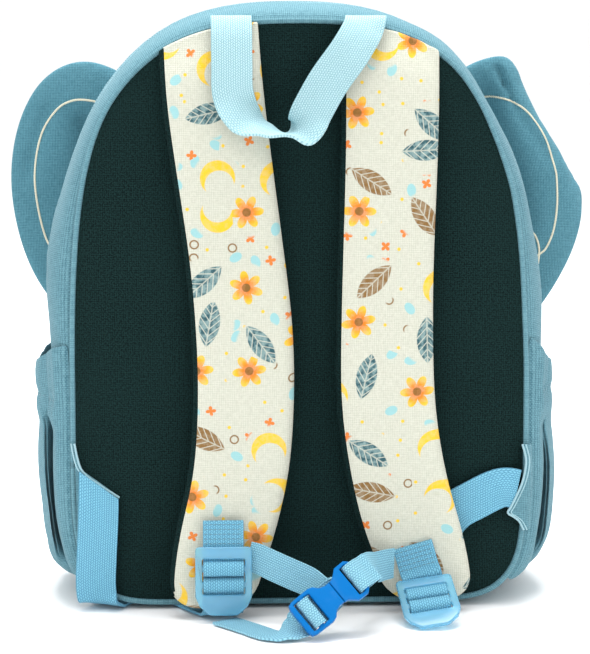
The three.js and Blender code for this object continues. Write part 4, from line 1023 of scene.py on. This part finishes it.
@dataclass
class BagBody:
    """The gusset, the two panels, the piping in the back seam and the main zip.

    closed is how far the panels' rims reach out under the gusset, and the tucks are how far the zip's edges
    and ends reach in under it, so that no light passes at the seams.
    """

    nodes: Mapping[str, Object]
    wrinkle: float = 0.0011
    pucker: float = 0.0005
    piping_radius: float = 0.0015
    piping_y: float = -0.0496
    piping_low: float = 0.0021
    piping_out: float = 0.55
    closed: float = 0.0006
    tuck: float = 0.0007
    tuck_side: float = 0.0009
    tuck_end: float = 0.0026
    middle: tuple[float, float, float] = (0.0, 0.0, 0.13)
    crease: float = 0.0006
    creases_mm: Sequence[Sequence[float]] = ((-72, 76, -54, 88), (80, 92, 103, 79), (-66, 225, -48, 206))
    outline: np.ndarray = field(init=False)

    def build(self) -> None:
        """Makes all the pieces."""
        self.back_panel()
        self.front_panel()
        self.gusset()
        self.piping()
        self.zip()

    def arch(self, points: np.ndarray) -> np.ndarray:
        """Thread directions that go round the bag: the way along the outline, and the depth."""
        _, along = nearest_on(self.outline, points[:, [0, 2]])
        return np.stack([along, points[:, 1]], 1) / MM

    def soften(self, points: np.ndarray, facing: float) -> np.ndarray:
        """Moves a panel's points in soft wrinkles and in puckers along its seam."""
        away, along = nearest_on(self.outline, points[:, [0, 2]])
        inner = ease(away, 0.001, 0.03)
        wrinkles = ripple(points, (34, 60, 46), 3.1) + 0.35 * ripple(points, (11, 60, 15), 7.7)
        near = ease(away, 0.001, 0.006) * (1 - ease(away, 0.008, 0.024))
        puckers = np.sin(along / 0.0125 + 2.4 * ripple(points, (60, 60, 60), 1.3))
        moved = points.copy()
        moved[:, 1] += facing * (self.wrinkle * inner * wrinkles + self.pucker * near * puckers)
        middle_x, middle_z = self.outline.mean(0)
        rim = self.closed * (1 - ease(away, 0.0005, 0.004))
        return moved + self.outwards(points, (middle_x, 0, middle_z)) * rim[:, None]

    def outwards(self, points: np.ndarray, middle: Sequence[float]) -> np.ndarray:
        """The way from a middle to each point, seen from the front."""
        ways = (points - middle) * (1, 0, 1)
        return ways / (np.linalg.norm(ways, axis=1)[:, None] + 1e-9)

    def back_panel(self) -> None:
        """The dark padded panel, with faint creases where it was folded."""
        piece = quads_from(self.nodes, "back_panel", "back_canvas", 2)
        self.outline = outline_of(piece)
        points = self.soften(points_of(piece), -1.0)
        for x0, z0, x1, z1 in self.creases_mm:
            away = away_from(points[:, [0, 2]], (x0, z0), (x1, z1))
            points[:, 1] += self.crease * (1 - ease(away, 0.0004, 0.0032))
        put_points(piece, points)
        lay_cloth(piece, Plane.FRONT)
        dress(piece, DARK, Slot.DARK, "back_panel")

    def front_panel(self) -> None:
        """The padded front, which the photograph doesn't show, kept plain."""
        piece = quads_from(self.nodes, "front_panel", "front_canvas", 2)
        put_points(piece, self.soften(points_of(piece), 1.0))
        lay_cloth(piece, Plane.FRONT)
        dress(piece, CANVAS, Slot.CANVAS, "front_panel")

    def gusset(self) -> None:
        """The wall that goes round the bag, with soft folds that fade at its seams and at the floor."""
        piece = quads_from(self.nodes, "gusset", "gusset_canvas", 2)
        points = points_of(piece)
        lay_cloth(piece, self.arch)
        ways = self.outwards(points, self.middle)
        ways[:, 2] *= ease(points[:, 2], 0.02, 0.06)
        loose = (1 - ease(np.abs(points[:, 1]), 0.030, 0.046)) * ease(points[:, 2], 0.012, 0.05)
        folds = ripple(points, (60, 26, 34), 11.3) + 0.4 * ripple(points, (30, 10, 13), 5.9)
        put_points(piece, points + ways * (self.wrinkle * 1.2 * loose * folds)[:, None])
        dress(piece, CANVAS, Slot.CANVAS, "gusset")

    def piping(self) -> None:
        """The covered cord in the seam of the back panel."""
        away = self.outline - self.outline.mean(0)
        away *= self.piping_radius * self.piping_out / np.linalg.norm(away, axis=1)[:, None]
        across, up = (self.outline + away).T
        ring = np.stack([across, np.full(len(across), self.piping_y), np.maximum(up, self.piping_low)], 1)
        path = smooth_path(ring, 0.003, closed=True)[:-1]
        piece = cord_along("back_piping", path, self.piping_radius, True)
        lay_cloth(piece, self.arch)
        dress(piece, CANVAS, Slot.CANVAS)

    def zip(self) -> None:
        """The closed zip along the arch."""
        piece = quads_from(self.nodes, "main_zip", "zip_tape", 1)
        low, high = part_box("main_zip")
        middle, half = (low.y + high.y) / 2, (high.y - low.y) / 2
        lay_cloth(piece, lambda p: self.arch(p) - np.array([0, middle / MM - ZIP.middle_mm]))
        points = points_of(piece)
        across = points[:, 1] - middle
        edge = ease(np.abs(across), half - 0.0012, half)
        end = 1 - ease(points[:, 2], low.z, low.z + 0.002)
        points -= self.outwards(points, self.middle) * (self.tuck * np.maximum(edge, end))[:, None]
        points[:, 1] += np.sign(across) * self.tuck_side * edge
        points[:, 2] -= self.tuck_end * end
        put_points(piece, points)
        dress(piece, ZIP, Slot.ZIP, "main_zip", smooth=40.0)


@dataclass
class Ears:
    """The two ears, each with its line of corded embroidery.

    A dent is a straight line from X and Z to X and Z, its width and its depth, in millimetres.
    """

    nodes: Mapping[str, Object]
    ripple_depth: float = 0.0013
    dents_mm: Mapping[str, Sequence[Sequence[float]]] = field(
        default_factory=lambda: {
            "left": ((-108, 240, -104, 180, 7, 5.0), (-128, 246, -139, 214, 4, 1.2)),
            "right": (
                (114.5, 268.5, 119.2, 260.5, 1.5, 4.0), (119.2, 260.5, 125, 248, 1.1, 3.0),
                (108, 252, 121, 185, 9, 8.0), (104, 262, 112, 240, 5, 2.4), (128, 244, 139, 222, 3, 1.6),
            ),
        }
    )
    cord: Stitch = Stitch(long=1.9, wide=0.8, high=0.7, step=0.85, lean=0.6)
    lines_mm: Mapping[str, Sequence[Sequence[Sequence[float]]]] = field(
        default_factory=lambda: {
            "left": (
                ((-93, 249), (-98.6, 250.7), (-108, 252.5), (-115.4, 252), (-122.8, 247.9), (-130.2, 237.7),
                 (-134, 225.6), (-135.5, 212.6), (-134.9, 201.4), (-133.1, 190.2), (-130.7, 180.9),
                 (-128.4, 175.3),
                 (-125, 168.5)),
            ),
            "right": (
                ((101, 250), (106.3, 252.5), (113.7, 253.5), (124.2, 250.5), (133.4, 243.3), (139.3, 231.7),
                 (141.7, 218.2), (142.8, 204.7), (142.7, 193.1), (141, 181.5), (137.6, 172.8),
                 (134.7, 169.5),
                 (131.4, 167.6), (128, 166.5)),
                ((121.5, 179), (124.2, 181.2), (127.7, 181.6), (131.2, 178.7), (133.3, 171.9), (133, 164.1),
                 (131.6, 156.4)),
            ),
        }
    )

    def build(self) -> None:
        """Makes both ears."""
        for side, lines in self.lines_mm.items():
            ear = self.cloth(side)
            for number, line in enumerate(lines):
                self.embroider(side, number, line, ear)

    def cloth(self, side: str) -> Object:
        """One ear's two layers of cloth, with soft folds."""
        piece = quads_from(self.nodes, f"ear_{side}", f"ear_canvas_{side}", 2)
        points = points_of(piece)
        folds = ripple(points, (30, 90, 40), 2.2) + 0.3 * ripple(points, (10, 90, 16), 9.1)
        free = ease(np.abs(points[:, 0]), 0.100, 0.125)
        points[:, 1] += self.ripple_depth * folds * free
        for x0, z0, x1, z1, width, depth in self.dents_mm[side]:
            away = away_from(points[:, [0, 2]], (x0, z0), (x1, z1))
            points[:, 1] += depth * MM * np.exp(-((away / (width * MM)) ** 2))
        put_points(piece, points)
        lay_cloth(piece, Plane.FRONT)
        # The ears take the darker copy of the blue canvas: painted shade.
        return dress(piece, SHADED_EAR_CANVAS, Slot.CANVAS, f"ear_{side}")

    def embroider(self, side: str, number: int, line: Sequence[Sequence[float]], ear: Object) -> None:
        """Sews one cream line onto an ear's back."""
        flat = smooth_path(line, self.cord.step) * MM
        spots = np.stack([flat[:, 0], np.zeros(len(flat)), flat[:, 1]], 1)
        path, out = drop_onto(ear, spots, (0, 1, 0))
        piece = self.cord.sew(f"ear_line_{side}_{number + 1}", path, out)
        dress(piece, CREAM_THREAD, Slot.PRINT)


@dataclass
class SidePockets:
    """The gathered pockets, with an elastic hem and one long fold down each.

    fold_mm gives, by place from the straps' side to the front, how far the cloth is folded back and how far
    out. belly_mm gives, by height, how far the belly stands out at the left and right. lift_mm gives, by how
    far out the cloth is, how much higher its hem stands near the straps. slant_mm is how far the fold leans.
    """

    nodes: Mapping[str, Object]
    wave: float = 0.0009
    gather: float = 0.0011
    fold_mm: Sequence[Sequence[float]] = (
        (-48, 0, 0), (-44, 0, -0.6), (-40, 0, -2.0), (-36, 1, -2.6), (-32, 5, -1.8), (-29, 9, -0.6),
        (-26.5, 6, 0.4), (-24.5, -3, 0), (-22, -11, -1.6), (-20, -14, -3), (-17, -12, -2.6),
        (-14, -7, -0.8), (-8, -2, 0), (0, 0, 0),
    )
    belly_mm: Sequence[Sequence[float]] = (
        (9, 3.0, 1.0), (17, 3.5, 1.0), (22, 2.0, 0.0), (28, 0.0, -0.5), (40, -1.4, -1.5), (48, -2.0, -2.2),
        (75, -0.4, -2.0), (92, 1.2, -0.5), (104, 2.4, 0.2), (115, 2.8, 0.0), (124, 2.0, -0.6),
        (129, 1.6, -0.6),
    )
    lift_mm: Mapping[str, Sequence[Sequence[float]]] = field(
        default_factory=lambda: {
            "left": ((112, 8.0), (122, 7.0), (127, 5.0), (131, 3.0), (136, 2.0)),
            "right": ((108, 11.0), (117, 9.5), (121, 7.0), (125, 2.0), (130, 0.5)),
        }
    )
    slant_mm: Mapping[str, float] = field(default_factory=lambda: {"left": 0.0, "right": 6.0})
    hem_mm: float = 105.5
    stitch: Stitch = Stitch(long=2.2, wide=0.5, high=0.45, step=3.0)

    def build(self) -> None:
        """Makes both pockets."""
        for side in ("left", "right"):
            self.pocket(side)

    def lifted(self, side: str, points: np.ndarray) -> np.ndarray:
        """How much higher the hem stands near the straps' side, at each point."""
        low = {"left": 0.106, "right": 0.088}[side]
        places, lifts = np.array(self.lift_mm[side]).T * MM
        near = 1 - ease(points[:, 1], -0.024, 0.002)
        return np.interp(np.abs(points[:, 0]), places, lifts) * near * ease(points[:, 2], low, low + 0.018)

    def pocket(self, side: str) -> None:
        """One pocket, with its hem stitched."""
        way = -1.0 if side == "left" else 1.0
        piece = quads_from(self.nodes, f"side_pocket_{side}", f"pocket_canvas_{side}", 2)
        points = points_of(piece)
        y, z = points[:, 1].copy(), points[:, 2].copy()
        loose = ease(y, -0.0465, -0.041) * (1 - ease(y, 0.036, 0.045))
        places, back, out = np.array(self.fold_mm).T
        heights, *bellies = np.array(self.belly_mm).T
        folded = ease(z, 0.014, 0.034) * (1 - ease(z, 0.088, 0.101)) * (1 - 0.25 * ease(z, 0.05, 0.09))
        belly = np.interp(z / MM, heights, bellies[0 if side == "left" else 1]) * ease(y, -0.034, -0.016)
        waves = ripple(points * [0, 1, 1], (50, 8.5, 80), 4.4 * (2 + way))
        waves *= ease(z, 0.012, 0.05) * (1 - ease(z, 0.1, 0.107))
        fine = ripple(points * [0, 1, 1], (50, 3.4, 34), 8.2) * ease(z, 0.084, 0.104)
        over_hem = z / MM - self.hem_mm
        pinch = 0.7 * np.exp(-(((over_hem + 7) / 5) ** 2)) - 1.1 * np.exp(-((over_hem / 1.7) ** 2))
        along = y / MM + self.slant_mm[side] * ease(z, 0.068, 0.100)
        belly += pinch + folded * np.interp(along, places, out)
        moved = self.wave * waves + self.gather * fine + MM * belly
        points[:, 0] += way * moved * loose
        points[:, 1] += MM * folded * np.interp(along, places, back) * loose
        points[:, 2] += self.lifted(side, points)
        put_points(piece, points)
        lay_cloth(piece, Plane.SIDE)
        dress(piece, CANVAS, Slot.CANVAS, f"side_pocket_{side}")
        rows = np.arange(-0.042, 0.041, self.stitch.step * MM)
        heights = np.full(len(rows), self.hem_mm * MM)
        spots = np.stack([np.full(len(rows), way * 0.124), rows, heights], 1)
        spots[:, 2] += self.lifted(side, spots)
        path, out = drop_onto(piece, spots, (-way, 0, 0))
        dress(self.stitch.sew(f"pocket_stitches_{side}", path, out), BLUE_THREAD, Slot.CANVAS)


@dataclass
class ShoulderStraps:
    """The padded straps: a dark backing, and printed cloth that stops short of its left edge.

    bare is the share of the width that stays bare, and whole is how wide a row has to be, as a share of the
    usual width, to count as one that isn't cut off by the strap's slanted top.
    """

    nodes: Mapping[str, Object]
    bare: float = 0.056
    whole: float = 0.93
    cloth: float = 0.0008
    inset: float = 0.0004

    def build(self) -> None:
        """Makes both straps."""
        for side in ("left", "right"):
            self.strap(side)

    def share_across(self, points: np.ndarray) -> np.ndarray:
        """How far across the strap each point lies, from 0 at its left edge to 1 at its right."""
        bins = np.round(points[:, 2] / 0.012).astype(int)
        rows = [np.flatnonzero(bins == number) for number in np.unique(bins)]
        lows = points[[row[points[row, 0].argmin()] for row in rows]]
        highs = points[[row[points[row, 0].argmax()] for row in rows]]
        widths = highs[:, 0] - lows[:, 0]
        full = widths > self.whole * np.median(widths)
        ends = (end[end[:, 2].argsort()] for end in (lows[full], highs[full]))
        left, right = (np.interp(points[:, 2], end[:, 2], end[:, 0]) for end in ends)
        return (points[:, 0] - left) / (right - left)

    def strap(self, side: str) -> None:
        """One strap: its backing and its printed face."""
        backing = quads_from(self.nodes, f"shoulder_strap_{side}", f"strap_backing_{side}", 2)
        face = add_object(f"strap_face_{side}", backing.data.copy())
        points = points_of(face)
        shares = self.share_across(points)
        for polygon in face.data.polygons:
            middle = shares[list(polygon.vertices)].mean()
            polygon.select = polygon.normal.y > -0.25 or middle < self.bare
        for part in (face.data.vertices, face.data.edges):
            part.foreach_set("select", [False] * len(part))
        select_only(face)
        bpy.ops.object.mode_set(mode="EDIT")
        bpy.context.tool_settings.mesh_select_mode = (False, False, True)
        bpy.ops.mesh.delete(type="FACE")
        bpy.ops.mesh.select_all(action="SELECT")
        bpy.ops.object.mode_set(mode="OBJECT")
        points = points_of(face)
        points[:, 1] -= 0.0002 * ripple(points, (14, 30, 18), 6.0)
        put_points(face, points)
        lay_cloth(face, Plane.FRONT)
        apply_modifier(face, "SOLIDIFY", thickness=self.cloth, offset=0.2)
        dress(face, PRINT, Slot.PRINT, f"shoulder_strap_{side}", smooth=60.0)
        points = points_of(backing)
        points[:, 1] += self.inset * (points[:, 1] < points[:, 1].mean())
        put_points(backing, points)
        lay_cloth(backing, Plane.FRONT)
        dress(backing, DARK, Slot.DARK)


@dataclass
class Webbings:
    """Every length of webbing, with its ribs, and the stitches that hold its ends."""

    nodes: Mapping[str, Object]
    patch: Stitch = Stitch(long=1.9, wide=0.5, high=0.45, step=2.3)
    patch_rows: int = 5
    first_row: float = 1.6
    row_step: float = 2.4
    half: float = 8.6

    def build(self) -> None:
        """Weaves each route."""
        made = {}
        for name, route in ROUTES.items():
            title, columns, finish = name + "_webbing", 24, WEBBING
            if name.startswith("chest"):
                title, columns, finish = name.replace("strap", "webbing"), 20, CHEST_WEBBING
            elif name == "carry_handle":
                finish = HANDLE_WEBBING
            made[name] = dress(route.weave(title, columns), finish, Slot.WEBBING, name, smooth=70.0)
        for side in ("left", "right"):
            self.patches(side, made[f"adjuster_loop_{side}"])

    def patches(self, side: str, loop: Object) -> None:
        """Rows of stitches over the end of a loop, where it is sewn to its strap."""
        route = ROUTES[f"adjuster_loop_{side}"]
        middle, along, across = self.edge_of(route)
        reach = np.arange(-self.half, self.half + 0.1, self.patch.step)
        rows = [self.first_row + self.row_step * row for row in range(self.patch_rows)]
        spots = [(middle + along * row + across * step) * MM for row in rows for step in reach]
        path, out = drop_onto(loop, np.array(spots), (0, 1, 0))
        dress(self.patch.sew(f"patch_stitches_{side}", path, out), BLUE_THREAD, Slot.WEBBING)

    def edge_of(self, route: Route) -> tuple[np.ndarray, np.ndarray, np.ndarray]:
        """Where the outer end of a loop lies, the way along it and the way across."""
        ends = [route.point(0.0), route.point(1.0)]
        outer = 0 if ends[0][1] < ends[1][1] else 1
        inward = route.point(0.02 if outer == 0 else 0.98) - ends[outer]
        inward /= np.linalg.norm(inward)
        return ends[outer], inward, route.across(float(outer), inward)


@dataclass
class SideTabs:
    """The cloth corners in the side seams that hold the lower webbing.

    seam_mm gives where the right one's seam runs, by height, and turn_mm how deep its cloth lies, by the
    share of the way from its edging to that seam.
    """

    nodes: Mapping[str, Object]
    edging_mm: Mapping[str, Sequence[Sequence[float]]] = field(
        default_factory=lambda: {
            "left": ((-112, 86), (-108.5, 72.6), (-99, 64.5), (-89.8, 58.5)),
            "right": (
                (110.2, 84), (112.0, 77), (111.8, 71), (110.2, 64), (107.2, 57), (104.8, 52), (103.2, 49),
                (106, 47), (109, 44.5), (111.3, 40),
            ),
        }
    )
    radius: float = 0.00055
    over_mm: Mapping[str, float] = field(default_factory=lambda: {"left": 0.0, "right": 2.2})
    seam_mm: Sequence[Sequence[float]] = ((40, 115.0), (60, 116.2), (84, 115.2))
    turn_mm: Sequence[Sequence[float]] = ((0.0, -55.6), (0.35, -56.0), (0.7, -55.2), (1.0, -52.0))

    def build(self) -> None:
        """Makes both tabs and their bound edges."""
        for side, line in self.edging_mm.items():
            piece = self.canvas(side, line)
            lay_cloth(piece, Plane.FRONT)
            dress(piece, CANVAS, Slot.CANVAS, f"side_tab_{side}", smooth=50.0)
            low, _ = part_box(f"side_tab_{side}")
            flat = smooth_path(line, 0.8) * MM
            path = np.stack([flat[:, 0], np.full(len(flat), low.y - self.over_mm[side] * MM), flat[:, 1]], 1)
            inner = path + np.array((0.0017 if side == "right" else -0.0017, 0.0001, 0))
            for name, row, radius in (("", path, self.radius), ("_inner", inner, self.radius * 0.7)):
                edging = cord_along(f"tab_edging_{side}{name}", row, radius, False)
                dress(edging, PALE_THREAD, Slot.CANVAS)

    def canvas(self, side: str, line: Sequence[Sequence[float]]) -> Object:
        """One tab's cloth. The right one is folded over the webbing's end, up to its edging."""
        if side == "left":
            piece = quads_from(self.nodes, "side_tab_left", "tab_canvas_left")
            edit(piece, lambda: bpy.ops.mesh.dissolve_limited(angle_limit=0.02))
            apply_modifier(piece, "BEVEL", width=0.0004, segments=2, limit_method="ANGLE")
            return piece
        edge = smooth_path(line, 1.6) * MM
        heights, places = np.array(self.seam_mm).T * MM
        seam = np.interp(edge[:, 1], heights, places)
        points = np.array([
            np.stack([edge[:, 0] * (1 - share) + seam * share, np.full(len(edge), depth * MM), edge[:, 1]], 1)
            for share, depth in self.turn_mm
        ])
        count = len(edge)
        mesh = bpy.data.meshes.new("tab_canvas_right")
        mesh.from_pydata(points.reshape(-1, 3).tolist(), [], [
            (row * count + k, row * count + k + 1, (row + 1) * count + k + 1, (row + 1) * count + k)
            for row in range(len(self.turn_mm) - 1) for k in range(count - 1)
        ])
        piece = add_object(mesh.name, mesh)
        apply_modifier(piece, "SOLIDIFY", thickness=0.0008, offset=0.0)
        edit(piece, lambda: bpy.ops.mesh.normals_make_consistent(inside=False))
        apply_modifier(piece, "SUBSURF", levels=1, render_levels=1)
        return piece


@dataclass
class Hardware:
    """The moulded ladder locks and the two halves of the chest buckle."""

    nodes: Mapping[str, Object]
    round_mm: float = 0.22

    def build(self) -> None:
        """Makes each moulding with rounded edges."""
        for node, finish, slot in (
            ("ladder_lock_left", CLEAR, Slot.CLEAR),
            ("ladder_lock_right", CLEAR, Slot.CLEAR),
            ("buckle_socket", BUCKLE, Slot.BUCKLE),
            ("buckle_plug", BUCKLE, Slot.BUCKLE),
        ):
            piece = quads_from(self.nodes, node, f"{node}_moulding")
            edit(piece, lambda: bpy.ops.mesh.dissolve_limited(angle_limit=0.03))
            apply_modifier(piece, "BEVEL", width=self.round_mm * MM, segments=2, limit_method="ANGLE",
                           angle_limit=0.6)
            dress(piece, finish, slot, node, smooth=42.0)


@dataclass
class Studio:
    """The pale floor, the soft lights and the camera."""

    lens_mm: float = 133.6
    eye: tuple[float, float, float] = (-0.063, -1.250, 0.310)
    target: tuple[float, float, float] = (-0.0015, -0.050, 0.1436)
    floor_m: float = 60.0
    bag_middle: tuple[float, float, float] = (0.0, 0.0, 0.14)
    daylight: float = 1.04

    def build(self) -> None:
        """Sets up the whole studio."""
        scene = bpy.context.scene
        scene.view_settings.view_transform = "Standard"
        self.floor()
        self.light("key", (-0.9, -1.5, 1.9), 1.3, 12.0)
        self.light("fill", (0.8, -1.6, 0.9), 1.2, 4.0)
        self.light("top", (0.0, 0.2, 1.6), 1.0, 44.0)
        world = bpy.data.worlds.new("studio")
        world.use_nodes = True
        colour, strength = world.node_tree.nodes["Background"].inputs[:2]
        colour.default_value = (1, 1, 1, 1)
        strength.default_value = self.daylight
        scene.world = world
        self.camera()

    def aim(self, thing: Object, place: Sequence[float], target: Sequence[float]) -> None:
        """Puts a lamp or the camera in its place and turns it to face another place."""
        thing.location = place
        thing.rotation_euler = (Vector(target) - Vector(place)).to_track_quat("-Z", "Y").to_euler()

    def floor(self) -> None:
        """A wide pale floor."""
        select_only()
        bpy.ops.mesh.primitive_plane_add(size=self.floor_m, location=(0, 0, 0))
        floor = bpy.context.object
        floor.name = "floor"
        g = Graph("pale floor")
        tint = g.noise(g.place(), 1.5, 2.0)
        colour = g.mix(g.math("MULTIPLY", tint, 0.05), (0.97, 0.975, 0.98), (0.95, 0.96, 0.97))
        g.finish(colour, None, 0.0, roughness=0.6)
        floor.data.materials.append(g.material)

    def light(self, name: str, place: Sequence[float], size: float, power: float) -> None:
        """A square soft light that faces the bag."""
        lamp = bpy.data.lights.new(name, "AREA")
        lamp.size = size
        lamp.energy = power
        self.aim(add_object(name, lamp), place, self.bag_middle)

    def camera(self) -> None:
        """The camera, where the photographer's stood."""
        eye = bpy.data.cameras.new("camera")
        eye.lens = self.lens_mm
        eye.sensor_width = 36.0
        holder = add_object("camera", eye)
        self.aim(holder, self.eye, self.target)
        bpy.context.scene.camera = holder


LEAN_MM = (
    (0, 4.0, 4.0, 4.0), (20, 3.6, 3.6, 3.6), (40, 2.6, 2.6, 2.6), (100, 2.6, 2.6, 2.6),
    (125, 2.4, 2.2, 2.4),
    (150, 1.6, 0.3, 2.4), (176, 1.2, -1.4, 2.7), (190, 0.8, -1.5, 2.8), (212, 0.0, -2.2, 2.6),
    (228, -1.6, -2.6, 0.0),
    (242, -3.0, -3.4, -2.4), (262, -3.6, -3.6, -2.6), (285, -2.2, -2.2, 1.0), (305, 0.0, 0.0, 0.0),
)


def main() -> None:
    """Builds each sub-assembly in order around the solids."""
    logging.basicConfig(level=logging.INFO, format="%(name)s: %(message)s")
    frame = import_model()
    select_only()
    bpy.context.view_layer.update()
    nodes = frame["nodes"]
    Studio().build()
    for assembly in (BagBody, Ears, SidePockets, ShoulderStraps, Webbings, SideTabs, Hardware):
        LOG.info("building %s", assembly.__name__)
        assembly(nodes).build()
    for piece in [thing for thing in bpy.context.scene.objects if thing.type == "MESH"]:
        if piece.name not in (*nodes, "floor"):
            put_points(piece, lean(points_of(piece), LEAN_MM, piece.name.startswith("ear")))
    select_only()


if __name__ == "__main__":
    main()
